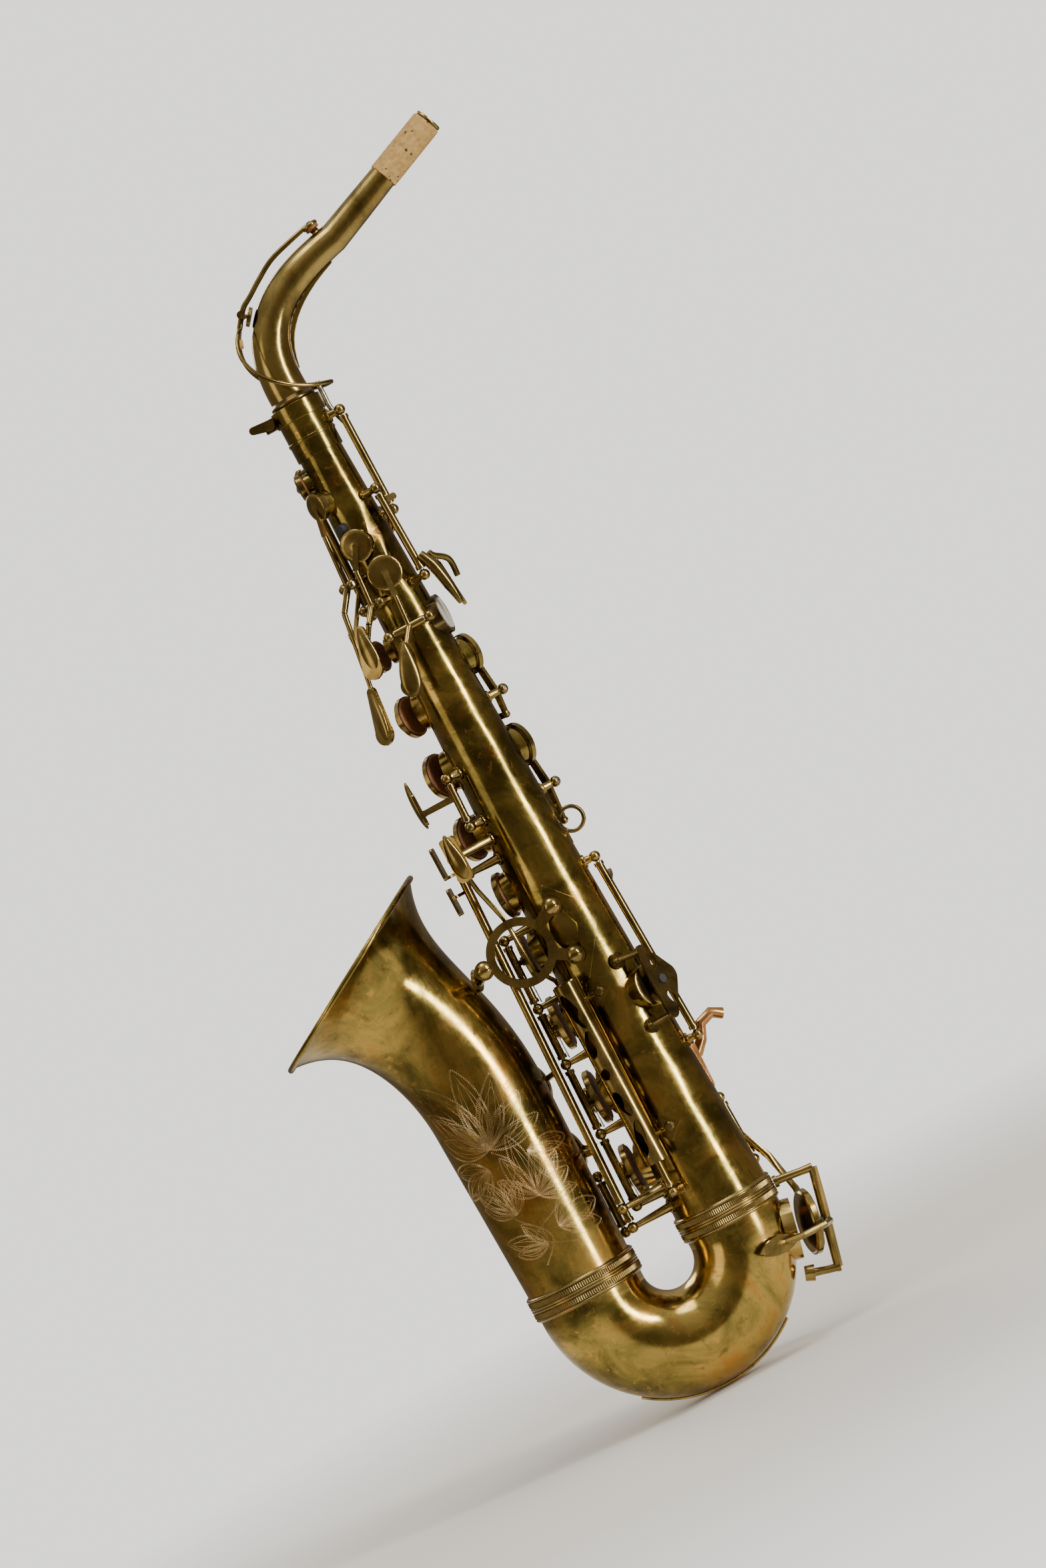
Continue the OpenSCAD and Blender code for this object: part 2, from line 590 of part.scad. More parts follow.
module c_key() color(brass) placed() {
  stack_key(H_upper, c_hole, 332.6, 359.4, -stack_open);
  stack_pad(H_upper, c_hole, -stack_open);
}
module b_key() color(brass) placed() stack_key(H_upper, b_hole, 295.6, 325.4, -stack_open, 7.6);
module b_pad() color("#9a5b2e") placed() stack_pad(H_upper, b_hole, -stack_open);
module a_key() color(brass) placed() stack_key(H_upper, a_hole, 257.6, 288.4, -stack_open, 7.6);
module a_pad() color("#9a5b2e") placed() stack_pad(H_upper, a_hole, -stack_open);
module g_key() color(brass) placed() stack_key(H_upper, g_hole, 219.6, 250.4, -stack_open, 7.6);
module g_pad() color("#9a5b2e") placed() stack_pad(H_upper, g_hole, -stack_open);
module gsharp_key() color(brass) placed() {
  stack_key(H_upper, gsharp_hole, 187.6, 212.4, 0);
  stack_pad(H_upper, gsharp_hole, 0);
}
module fsharp_key() color(brass) placed() {
  stack_key(H_lower, fsharp_hole, 141, 175, stack_open);
  stack_pad(H_lower, fsharp_hole, stack_open);
}
module f_key() color(brass) placed() {
  stack_key(H_lower, f_hole, 107.3, 133.8, stack_open, 7.6);
  stack_pad(H_lower, f_hole, stack_open);
}
module e_key() color(brass) placed() {
  stack_key(H_lower, e_hole, 65.1, 100.1, stack_open, 7.6);
  stack_pad(H_lower, e_hole, stack_open);
}
module d_key() color(brass) placed() {
  stack_key(H_lower, d_hole, 21.6, 57.9, stack_open, 7.6);
  stack_pad(H_lower, d_hole, stack_open);
}

// ---- palm keys: closed cups on tubes that cross the body ----
// A teardrop finger plate that widens from p towards q
module leaf(p, q, w, n) {
  l = norm(q - p) - w / 2;
  facing(p, q - p, n) translate([0, 0, -1]) linear_extrude(2) {
    circle(w / 4);
    polygon([[0, -w / 4], [l, -w * 0.48], [l, w * 0.48], [0, w / 4]]);
    translate([l, 0]) circle(w / 2);
  }
}

module palm_key(line, hole, over, bend, touch, turn) {
  mid = (line[0] + line[1]) / 2;
  n = outward(hole[1]);
  drilled(line) {
    cross_tube(line);
    seat(hole) cup(hole[2]);
    bar(mid + 0.6 * outward(turn), over, 1.8, 1.5);
    blade(over, cup_top(hole), 3.6, 3, n);
    bar(mid + 0.6 * outward(turn), bend, 1.9, 1.7);
    bar(bend, touch[0] + 0.4 * (touch[1] - touch[0]) - 1.1 * outward(turn), 1.6, 1.2);
    leaf(touch[0], touch[1], 12.5, outward(turn));
  }
  seat(hole) pad(hole[2]);
}
module palm_d_key() color(brass) placed()
  palm_key(H_palm_d, palm_d_hole, spot(268, 9.5, 371), [-8, -31, 345],
    [[-10, -31.5, 344], [-17.5, -34, 318]], 265);
module palm_eb_key() color(brass) placed()
  palm_key(H_palm_eb, palm_eb_hole, spot(235, 8.6, 393), [-21, -25, 364],
    [[-27, -24, 363], [-31, -28, 336]], 244);
module palm_f_key() color(brass) placed()
  palm_key(H_palm_f, palm_f_hole, spot(211, 9, 418), [-30, -14, 376],
    [[-37, -16, 331], [-42.5, -19, 302]], 228);

// ---- keys on rods along the body ----
module front_f_key() color(brass) placed() {
  drilled(H_front_f) {
    key_tube(H_front_f, 372.6, 451.9);
    seat(front_f_hole) cup(front_f_hole[2]);
    cup_arm(H_front_f, front_f_hole, 3.6);
    blade(along(H_front_f, 384), along(H_front_f, 384) + [-14, -12, -22], 4, 3, [-1, 0, 0]);
    button(along(H_front_f, 384) + [-15, -13, -23], [-1, 0, 0], 5);
  }
  seat(front_f_hole) pad(front_f_hole[2]);
}

module high_e_key() color(brass) placed() {
  drilled(H_high_e) {
    key_tube(H_high_e, 239.6, 420.4);
    seat(high_e_hole) cup(high_e_hole[2]);
    cup_arm(H_high_e, high_e_hole, 4);
  }
  seat(high_e_hole) pad(high_e_hole[2]);
}

module side_cup_key(line, hole, tail) {
  mid = (line[0] + line[1]) / 2;
  drilled(line) {
    cross_tube(line);
    seat(hole) cup(hole[2]);
    blade(mid + 1.2 * outward(hole[1]), cup_top(hole), 6, 5, outward(hole[1]));
    blade(mid + 1.2 * outward(hole[1]), tail, 5, 4, outward(hole[1]));
  }
  seat(hole) pad(hole[2]);
}
module side_c_key() color(brass) placed()
  side_cup_key(H_side_c_cup, side_c_hole, spot(38, 9.5, 288));
module side_bb_key() color(brass) placed()
  side_cup_key(H_side_bb_cup, side_bb_hole, spot(42, 9.5, 221));

// A flat finger plate with rounded corners, its face across n
module plate(c, up, n, w, h, t = 1.6) {
  facing(c, up, n) translate([0, 0, -t / 2]) linear_extrude(t)
    for (x = [-1, 1], y = [-1, 1]) intersection() {
      union() {
        square([h, w - 4], center = true);
        square([h - 4, w], center = true);
        translate([x * (h / 2 - 2), y * (w / 2 - 2)]) circle(2);
      }
    }
}

module lever(line, z1, z2, tail_z, tail) {
  key_tube(line, z1, z2);
  if (norm(tail) > 0) blade(along(line, tail_z), tail, 4, 3.4, outward(atan2(tail.y, tail.x)), 1.6);
}

module side_c_lever() color(brass) placed() drilled(H_side_c) {
  lever(H_side_c, 211.6, 298.4, 289, spot(44, 12.4, 287));
  blade(along(H_side_c, 218), spot(84, 17, 218), 5, 5, [0, 0, 1]);
  plate(spot(84, 17.5, 214), [0, 0, 1], outward(84), 9, 26);
}
module side_bb_lever() color(brass) placed() drilled(H_side_bb) {
  lever(H_side_bb, 177.6, 226.4, 222, spot(46, 12.4, 221));
  blade(along(H_side_bb, 182), spot(72, 17, 182), 5, 5, [0, 0, 1]);
  plate(spot(76, 17.5, 184), [0, 0, 1], outward(76), 9, 22);
}

module gsharp_lever() color(brass) placed() drilled(H_gsharp) {
  lever(H_gsharp, 245.6, 267.4, 260, [-43, -15, 260]);
  plate([-44, -17, 263], [0, 0, 1], [-1, 0, 0], 14, 19);
}
module csharp_lever() color(brass) placed() drilled(H_guarded) {
  key_tube(H_guarded, 20.6, 135.4);
  blade(along(H_guarded, 26), [-33, -22, 26], 4, 3.4, [0, 0, 1], 1.6);
  wire([along(H_guarded, 129), [-21.6, -17.4, 134], [-23.4, -17.6, 147], [-30, -21, 157], [-32, -22, 190], [-37, -31, 210], [-38.6, -33.2, 222]], 1.4);
  plate([-39, -34, 230], [0, 0, 1], [-0.5, -0.87, 0], 10, 26);
}
module fsharp_trill_key() color(brass) placed() {
  drilled(H_trill) {
    key_tube(H_trill, 87.9, 192.4);
    seat(trill_hole) cup(trill_hole[2]);
    cup_arm(H_trill, trill_hole);
    blade(along(H_trill, 180), spot(18, 11, 184), 4, 4, outward(18));
  }
  seat(trill_hole) pad(trill_hole[2]);
}

module low_eb_key() color(brass) placed() {
  drilled(H_low_eb) {
    key_tube(H_low_eb, 34.6, 68.4);
    seat(low_eb_hole) cup(low_eb_hole[2]);
    cup_arm(H_low_eb, low_eb_hole);
    blade(along(H_low_eb, 60), spot(120, 18, 60), 5, 5, [0, 0, 1]);
    plate(spot(120, 18.6, 60), [0, 0, 1], outward(120), 13, 18);
  }
  seat(low_eb_hole) pad(low_eb_hole[2]);
}
module low_c_lever() color(brass) placed() drilled(H_low_eb) {
  lever(H_low_eb, 10.2, 27.4, 13, spot(72, 5.2, 13));
  bar(along(H_low_eb, 24), spot(120, 18, 33), 2);
  plate(spot(120, 18.6, 39), [0, 0, 1], outward(120), 13, 18);
}

module low_c_key() color(brass) placed() {
  top = [33.2, 0, -35.4];
  swing(H_low_c, bell_key_open * 2) drilled(H_low_c) {
    key_tube(H_low_c, 11.6, 43.2);
    low_c_seat() cup(low_c_hole_r);
    wire([along(H_low_c, 24), [33, 17, 6], [35.5, 8, -16], top], 2);
    blade(along(H_low_c, 16), spot(64, 12.4, 14), 4, 4, outward(60), 1.6);
  }
  swing(H_low_c, bell_key_open * 2) low_c_seat() pad(low_c_hole_r);
}

module bell_key(line, hole, z1, z2, route, plate_c, plate_w, plate_h) {
  b = bell_at(hole[0]);
  top = [-bow_span, 0, hole[0]] + (b[1] + chimney_h + pad_gap + cup_h) * [cos(bell_hole_turn), sin(bell_hole_turn), 0];
  swing(line, bell_key_open * -1) {
    drilled(line) {
      key_tube(line, z1, z2);
      wire(concat([along(line, route[0].z)], route,
        [top + [14, -1, 0], top + [6, 1.2, 0], top - [8, -1, 0]]), 1.8);
      blade(along(line, z2 - 4), [plate_c.x + 1, plate_c.y + 5, z2 - 4], 5, 5, [0, 0, 1]);
      plate(plate_c, [0, 0, 1], [-1, 0, 0], plate_w, plate_h);
    }
    bell_seat(hole) cup(hole[1]);
  }
  swing(line, bell_key_open * -1) bell_seat(hole) pad(hole[1]);
}
module low_b_key() color(brass) placed()
  bell_key(H_b, low_b_hole, 24.6, 227.4,
    [for (p = [[-52.2, -18.6], [-54.6, -13.5], [-52.4, -3], [-51.6, 8], [-53, 24]]) [p[0], p[1], 56]],
    [-48, -28, 232], 12, 19);
module low_bb_key() color(brass) placed()
  bell_key(H_bb, low_bb_hole, 12.6, 216.2,
    [for (p = [[-48.6, -4], [-49.2, 8], [-51, 24]]) [p[0], p[1], 101.5]],
    [-50, -22, 210], 14, 16);

module low_csharp_key() color(brass) placed() {
  drilled(H_csharp_cup) {
    key_tube(H_csharp_cup, 9.6, 36.4);
    bell_seat(low_csharp_hole) cup(low_csharp_hole[1]);
    top = bell_spot(bell_hole_turn, chimney_h + pad_gap + cup_h - 0.8, 21);
    over = top + (cup_r(low_csharp_hole[1]) + 0.6) * [sin(bell_hole_turn), -cos(bell_hole_turn), 0];
    bar(along(H_csharp_cup, 21), over, 1.7);
    blade(over, top, 5, 4, outward(bell_hole_turn));
  }
  bell_seat(low_csharp_hole) pad(low_csharp_hole[1]);
}

// ---- octave mechanism ----
module octave_lever() color(brass) placed() drilled(H_thumb) {
  lever(H_thumb, 377.8, 424.4, 420, spot(-26, 12.2, 420));
  wire([along(H_thumb, 384), spot(-26, 12.5, 381), spot(-8, 13, 376), spot(-3, 13.4, 366)], 1.7);
  leaf(spot(-4, 13, 376), spot(-1, 14.5, 350), 12, outward(-3));
}
module octave_pin_key() color("#9a9a92") placed() drilled(H_pin) {
  lever(H_pin, 417.6, body_len + 12, 421, spot(-27, 8.6, 421));
  wire([along(H_pin, body_len + 2), [19.6, 2, body_len + 8], [16.4, 2.6, body_len + 19], [16.4, 2.6, body_len + 35.5]], 1.4);
}

rest_turn = -12;            // the thumb rest faces this way
module rest_at() facing(spot(rest_turn, 0, 351.3), [0, 0, 1], outward(rest_turn)) children();
module thumb_rest() color(brass) placed() on_body() rest_at() difference() {
  translate([0, 0, -4]) cylinder(r = 11.5, h = 6.6);
  translate([0, 0, 0.8]) cylinder(r = 9.2, h = 3);
}
module thumb_rest_pearl() color("#d8c9a0") placed() rest_at()
  translate([0, 0, 0.8]) cylinder(r = 9.15, h = 2.4);

// ---- strap ring ----
module strap_ring() color("#6d5b27") placed() difference() {
  on_body() {
    translate(ring_c) rotate([90, 0, 0])
      rotate_extrude() translate([ring_d / 2 + ring_wire / 2, 0]) circle(ring_wire / 2);
    bar(spot(0, -0.6, 220), [ring_c.x - ring_d / 2 - 0.8, 0, 220], 2);
    facing(spot(0, 0.3, 224), [0, 0, 1], [1, 0, 0]) translate([0, 0, -0.9]) linear_extrude(1.6) hull() {
      square([6, 9], center = true);
      translate([15, 0]) circle(1);
      translate([-15, 0]) circle(1);
    }
  }
  translate(ring_c) rotate([90, 0, 0]) translate([0, 0, -8]) cylinder(r = ring_bore_r, h = 16);
}

// ---- thumb hook ----
module thumb_hook() color(brass) placed() rotate([0, 0, 18]) on_body() {
  facing(spot(0, 0.3, 72), [0, 0, 1], [1, 0, 0]) translate([0, 0, -1.2]) linear_extrude(2.6) hull() {
    translate([8, 0]) circle(6);
    translate([-14, 0]) circle(4);
  }
  wire([spot(0, 1.9, 74), [33, 0, 80], [37, 0, 88], [45, 0, 90.5], [51, 0, 87]], 3.2, 12);
}

// ---- body to bell brace ----
brace_y = -27.3;
brace_c = [-32.1, 169.3];
brace_ears = [[-6, 183.7], [-7.1, 154.7], [-54.4, 170]];
module brace_ring() color("#7d6a30") placed()
  translate([0, brace_y, 0]) rotate([90, 0, 0]) difference() {
    union() {
      translate([brace_c[0], brace_c[1], -1.5]) cylinder(r = 19.2, h = 3);
      for (e = brace_ears) {
        translate([e[0], e[1], -1.5]) cylinder(r = 5.4, h = 3);
        translate([brace_c[0], brace_c[1], 0]) rotate([0, 0, atan2(e[1] - brace_c[1], e[0] - brace_c[0])])
          translate([17, -3.2, -1.5]) cube([norm(e - brace_c) - 17, 6.4, 3]);
      }
    }
    translate([brace_c[0], brace_c[1], -2]) cylinder(r = 14.4, h = 4);
    for (e = brace_ears) translate([e[0], e[1], -2]) cylinder(r = 1.6, h = 4);
  }

module brace_mounts() color("#7d6a30") placed() difference() {
  on_body() {
    for (i = [0, 1]) {
      e = brace_ears[i];
      surface_y = -sqrt(pow(body_r(e[1]), 2) - e[0] * e[0]);
      bar([e[0], surface_y + 1.2, e[1]], [e[0], brace_y + 1.5, e[1]], 4.6, 3.9);
    }
    facing(spot(254, 0.2, 169), [0, 0, 1], outward(254)) translate([0, 0, -1.4])
      linear_extrude(2) polygon([[-25, 0], [0, -8], [25, 0], [0, 8]]);
    bar([-54.4, brace_y + 1.5, 170], [-54.4, brace_y + 5, 170], 4);
    bar([-54.4, brace_y + 4.4, 170], [-60.6, -9.8, 166.5], 3.2, 3.8);
    facing([-60.2, -9.6, 166.6], [0.2, 0, 1], [0.93, -0.3, 0.2]) translate([0, 0, -1.6]) cylinder(r = 6.4, h = 2.2);
  }
  for (e = brace_ears) translate([e[0], brace_y + 1, e[1]]) rotate([-90, 0, 0]) cylinder(r = 1.3, h = 5);
}

module brace_screws() color("#8c7a42") placed()
  for (e = brace_ears) translate([e[0], brace_y - 1.5, e[1]]) rotate([90, 0, 0]) difference() {
    union() {
      translate([0, 0, -6.5]) cylinder(r = 1.25, h = 6.6);
      intersection() {
        translate([0, 0, -3.5]) sphere(5.6);
        cylinder(r = 4.3, h = 4);
      }
    }
    translate([-5, -0.4, 1.1]) cube([10, 0.8, 3]);
  }

// ---- guards ----
module leaf_cut(l, w, turn) {
  r = (l * l / 4 + w * w / 4) / w;
  rotate(turn) intersection() {
    translate([0, r - w / 2]) circle(r);
    translate([0, w / 2 - r]) circle(r);
  }
}

guard_z = [35.5, 144];
guard_feet = [131, 49];
module rod_guard() color("#8a7435") placed() on_body() {
  a = along(H_guarded, guard_z[0]);
  b = along(H_guarded, guard_z[1]);
  l = norm(b - a);
  facing(a, b - a, outward(233)) difference() {
    rotate([0, 90, 0]) cylinder(r = 7.4, h = l);
    translate([-1, 0, 0]) rotate([0, 90, 0]) cylinder(r = 6.5, h = l + 2);
    translate([-1, -9, -9]) cube([l + 2, 18, 7.6]);
    translate([l / 2, 0, 0]) linear_extrude(9) {
      circle(3.4);
      for (s = [-1, 1]) {
        translate([s * 18, 0.6]) leaf_cut(17, 6.6, s * 16);
        translate([s * 40, -0.4]) leaf_cut(22, 7.4, s * -12);
      }
    }
  }
  for (z = guard_feet) {
    facing(spot(254, 0.3, z), [0, 0, 1], outward(254)) difference() {
      translate([0, 0, -0.8]) linear_extrude(1.8) polygon([[-8, 1], [0, -8], [8, 1], [3, 5], [-3, 5]]);
      translate([0, -1.5, -3]) cylinder(r = 1.3, h = 8);
    }
    bar(spot(247, 0.8, z), along(H_guarded, z) + 6.9 * [cos(305), sin(305), 0], 1.3);
  }
}

module trill_guard() color("#3c3420") placed() on_body() facing(spot(-44, 0, 121), [0, 0, 1], outward(-44))
  difference() {
    union() {
      translate([0, 0, 12.4]) linear_extrude(1.6) hull() {
        translate([18, 2]) circle(4);
        translate([-18, 2]) circle(4);
        translate([0, -7]) circle(7);
      }
      for (s = [-1, 1]) {
        bar([s * 19, 4, 13.2], [s * 19.8, 7, 0.2], 1.7);
        translate([s * 19.8, 7, -1.7]) cylinder(r = 4.6, h = 2.4);
      }
    }
    for (s = [-1, 1]) translate([s * 11, -2.4, 10]) linear_extrude(6) leaf_cut(12, 4.6, s * -24);
    translate([0, -2, 10]) cylinder(r = 2.6, h = 8);
  }

low_c_guard_top = [51.9, 0, -9.1];
low_c_guard_end = [38.9, 0, -63.6];
module low_c_guard() color("#8a7435") placed() {
  rim = [low_c_guard_top, low_c_guard_end];
  difference() {
    union() {
      blade(rim[0], rim[1], 5, 5, [1, 0, -0.24], 2.2);
      bar(rim[0], [31.4, 0, -6], 1.9);
      bar(rim[1], [25.4, 0, -60.2], 1.9);
      bar([31.6, 0, -6.7], [29.3, 0, -6.7], 3.4);
      bar([25.9, 0, -60.4], [20.8, 0, -58.5], 4.6, 4.2);
      wire([[45.4, -1, -38], [46.5, -14, -38], [43, -25, -37.5], [31, -28.6, -37], [19, -22.6, -36]], 1.9);
      facing([17.6, -24, -36], [-0.75, -0.6, 0.1], [0.53, -0.84, 0]) translate([3, 0, -0.2])
        linear_extrude(2) leaf_cut(30, 10, 0);
    }
  }
}

module bumpers() color("#1d1c1a") placed() {
  // under the low C guard
  translate([43.2, 0, -39.4]) rotate([0, -76.6, 0]) cylinder(r = 4.4, h = 2.6);
  // under the trill key's guard
  facing(spot(-44, 0, 121), [0, 0, 1], outward(-44)) translate([0, -2, 11.2]) {
    cylinder(r = 3.6, h = 1.15);
    cylinder(r = 2.55, h = 3.4);
  }
  // on the body, under the palm keys' arms
  on_body() facing(spot(232, 0, 417), [0, 0, 1], outward(232)) {
    translate([0, 0, -0.6]) cylinder(r = 3.2, h = 1.4);
    translate([0, 0, 0.8]) cylinder(r = 2.6, h = 3.2);
  }
}

module guard_screws() color("#8c7a42") placed() on_body() {
  for (z = guard_feet) facing(spot(254, 0.3, z), [0, 0, 1], outward(254)) translate([0, -1.5, 1]) {
    translate([0, 0, -1.7]) cylinder(r = 1.2, h = 1.8);
    cylinder(r1 = 2.8, r2 = 2, h = 1.3);
  }
}

module needle_springs() color("#4a4f58") placed()
  for (line = [H_upper, H_lower]) {
    heights = [for (p = POSTS) if (p[0] == line) p[1]];
    for (z = heights) if (z < max(heights)) {
      p = along(line, z + 2.5);
      inward = unit([p.x, p.y, 0]);
      bar(p - 3.6 * inward, along(line, z + 15) - 3.4 * inward, 0.35);
    }
  }

body_tube();
bow();
bell();
body_ferrule();
bell_ferrule();
bow_wear_strip();
neck_receiver();
clamp_screw();
key_posts();
hinge_rods();
needle_springs();
brace_ring();
brace_mounts();
brace_screws();
rod_guard();
trill_guard();
low_c_guard();
guard_screws();
bumpers();
thumb_hook();
thumb_rest();
thumb_rest_pearl();
strap_ring();
neck_tube();
neck_brace();
neck_cork();
neck_octave_saddle();
neck_octave_key();
octave_lever();
octave_pin_key();
palm_d_key();
palm_eb_key();
palm_f_key();
front_f_key();
high_e_key();
c_key();
b_key();
b_pad();
a_key();
a_pad();
g_key();
g_pad();
gsharp_key();
gsharp_lever();
fsharp_key();
f_key();
e_key();
d_key();
fsharp_trill_key();
side_c_key();
side_bb_key();
side_c_lever();
side_bb_lever();
low_eb_key();
low_c_key();
low_c_lever();
csharp_lever();
low_csharp_key();
low_b_key();
low_bb_key();
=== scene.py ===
import math

import bpy
import numpy as np
from mathutils import Matrix, Vector


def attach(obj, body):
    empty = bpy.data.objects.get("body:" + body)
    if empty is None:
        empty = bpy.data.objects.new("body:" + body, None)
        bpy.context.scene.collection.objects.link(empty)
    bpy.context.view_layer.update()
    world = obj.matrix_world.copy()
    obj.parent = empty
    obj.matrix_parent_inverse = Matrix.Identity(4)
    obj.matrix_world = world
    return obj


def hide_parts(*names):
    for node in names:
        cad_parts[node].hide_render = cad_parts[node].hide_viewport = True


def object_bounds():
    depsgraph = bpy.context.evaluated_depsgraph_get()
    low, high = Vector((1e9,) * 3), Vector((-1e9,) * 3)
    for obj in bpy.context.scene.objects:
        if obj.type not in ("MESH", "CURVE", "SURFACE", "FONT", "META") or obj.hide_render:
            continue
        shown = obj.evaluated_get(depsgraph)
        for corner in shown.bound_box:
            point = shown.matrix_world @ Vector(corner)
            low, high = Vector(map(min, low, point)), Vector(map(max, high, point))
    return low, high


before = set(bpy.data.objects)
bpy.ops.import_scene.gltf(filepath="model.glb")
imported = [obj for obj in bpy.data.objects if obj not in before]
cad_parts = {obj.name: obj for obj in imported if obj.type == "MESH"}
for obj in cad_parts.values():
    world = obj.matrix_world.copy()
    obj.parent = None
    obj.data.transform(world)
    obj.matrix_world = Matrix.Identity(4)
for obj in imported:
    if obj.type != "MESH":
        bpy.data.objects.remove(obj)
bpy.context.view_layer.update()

# Body tube: a long cone of drawn brass sheet, brazed along its back, with soldered chimneys.
# It is unlacquered, so it has darkened to olive brown with golden and reddish patches
# where hands and polish have worn the tarnish thin.


def at(x, y, z):
    """A place given in millimetres from the bow joint, on the body tube's axis."""
    return Vector(((x - 26) / 1000, y / 1000, (z - 220) / 1000))


def wires(tree, *pairs):
    for out, into in pairs:
        tree.links.new(out, into)


def ramp(tree, factor, stops):
    node = tree.nodes.new("ShaderNodeValToRGB")
    band = node.color_ramp
    band.elements[0].position, band.elements[0].color = stops[0][0], (*stops[0][1], 1)
    band.elements[1].position, band.elements[1].color = stops[-1][0], (*stops[-1][1], 1)
    for place, colour in stops[1:-1]:
        band.elements.new(place).color = (*colour, 1)
    tree.links.new(factor, node.inputs[0])
    return node.outputs[0]


def noise(tree, vector, scale, detail=4, rough=0.55, distortion=0.0):
    node = tree.nodes.new("ShaderNodeTexNoise")
    node.inputs["Scale"].default_value = scale
    node.inputs["Detail"].default_value = detail
    node.inputs["Roughness"].default_value = rough
    node.inputs["Distortion"].default_value = distortion
    tree.links.new(vector, node.inputs["Vector"])
    return node.outputs["Fac"]


def math_node(tree, kind, a, b, clamp=False):
    node = tree.nodes.new("ShaderNodeMath")
    node.operation = kind
    node.use_clamp = clamp
    for socket, value in zip(node.inputs, (a, b)):
        if isinstance(value, (int, float)):
            socket.default_value = value
        else:
            tree.links.new(value, socket)
    return node.outputs[0]


def mixed(tree, factor, a, b, kind="MIX"):
    node = tree.nodes.new("ShaderNodeMix")
    node.data_type = "RGBA"
    node.blend_type = kind
    for name, value in (("Factor", factor), ("A", a), ("B", b)):
        socket = [s for s in node.inputs if s.name == name and s.type == ("VALUE" if name == "Factor" else "RGBA")][0]
        if isinstance(value, (int, float)):
            socket.default_value = value
        elif isinstance(value, tuple):
            socket.default_value = (*value, 1)
        else:
            tree.links.new(value, socket)
    return [s for s in node.outputs if s.type == "RGBA"][0]


def bumped(tree, height, strength, distance, shader):
    node = tree.nodes.new("ShaderNodeBump")
    node.inputs["Strength"].default_value = strength
    node.inputs["Distance"].default_value = distance
    wires(tree, (height, node.inputs["Height"]), (node.outputs[0], shader.inputs["Normal"]))


def new_material(name, metallic, **sockets):
    material = bpy.data.materials.new(name)
    material.use_nodes = True
    shader = material.node_tree.nodes["Principled BSDF"]
    shader.inputs["Metallic"].default_value = metallic
    for socket, value in sockets.items():
        shader.inputs[socket.replace("_", " ")].default_value = value
    place = material.node_tree.nodes.new("ShaderNodeTexCoord").outputs["Object"]
    return material, material.node_tree, shader, place


def aged_brass(name, stops, patch=22.0, rough=(0.13, 0.3), lift=0.5, worn=(0.55, 0.40, 0.14),
               grime=0.75, fine=5.5, edge=0.75, specks=0.0):
    """Bare brass: broad patches of tarnish, a tone that runs lighter towards the bottom and darker towards the top,
    small stains, brighter worn edges, fine wiping marks.
    """
    material, tree, shader, place = new_material(name, 1.0)
    apart = tree.nodes.new("ShaderNodeSeparateXYZ")
    tree.links.new(place, apart.inputs[0])
    broad = noise(tree, place, patch, 7, 0.62, 1.1)
    # The tone runs lighter towards the bottom and darker towards the top, by lift.
    low = math_node(tree, "MULTIPLY", apart.outputs["Z"], -lift)
    tone = math_node(tree, "ADD", broad, low)
    colour = ramp(tree, tone, stops)
    stains = noise(tree, place, patch * fine, 8, 0.7, 0.4)
    colour = mixed(tree, ramp(tree, stains, [(0.56, (0, 0, 0)), (0.72, (grime,) * 3)]), colour,
                   (0.045, 0.026, 0.009))
    red = noise(tree, place, patch * 1.7, 5, 0.6, 0.8)
    colour = mixed(tree, ramp(tree, red, [(0.55, (0, 0, 0)), (0.75, (0.5,) * 3)]), colour,
                   (0.40, 0.155, 0.035))
    if specks:
        gold = noise(tree, place, patch * 9, 6, 0.7, 0.6)
        colour = mixed(tree, ramp(tree, gold, [(0.57, (0, 0, 0)), (0.68, (specks,) * 3)]), colour,
                       (0.66, 0.36, 0.085))
    ridges = tree.nodes.new("ShaderNodeNewGeometry").outputs["Pointiness"]
    colour = mixed(tree, ramp(tree, ridges, [(0.53, (0, 0, 0)), (0.62, (edge,) * 3)]), colour, worn)
    tree.links.new(colour, shader.inputs["Base Color"])
    along = tree.nodes.new("ShaderNodeMapping")
    along.inputs["Scale"].default_value = (1, 1, 0.06)
    tree.links.new(place, along.inputs["Vector"])
    lines = noise(tree, along.outputs[0], 1400, 3, 0.6)
    mapped = tree.nodes.new("ShaderNodeMapRange")
    mapped.inputs["To Min"].default_value, mapped.inputs["To Max"].default_value = rough
    mapped.inputs["From Min"].default_value, mapped.inputs["From Max"].default_value = 0.35, 0.68
    wires(tree, (math_node(tree, "ADD", math_node(tree, "MULTIPLY", stains, 0.75),
                           math_node(tree, "MULTIPLY", lines, 0.25)), mapped.inputs["Value"]),
          (mapped.outputs[0], shader.inputs["Roughness"]))
    bumped(tree, noise(tree, place, 45, 3, 0.5), 0.12, 0.0006, shader)
    return material


body_brass = aged_brass("body_brass", [
    (0.30, (0.072, 0.050, 0.013)), (0.42, (0.16, 0.120, 0.029)), (0.52, (0.29, 0.213, 0.053)),
    (0.62, (0.47, 0.32, 0.080)), (0.74, (0.48, 0.24, 0.045))],
    patch=21, rough=(0.10, 0.26), lift=0.28, grime=0.7, specks=0.7)


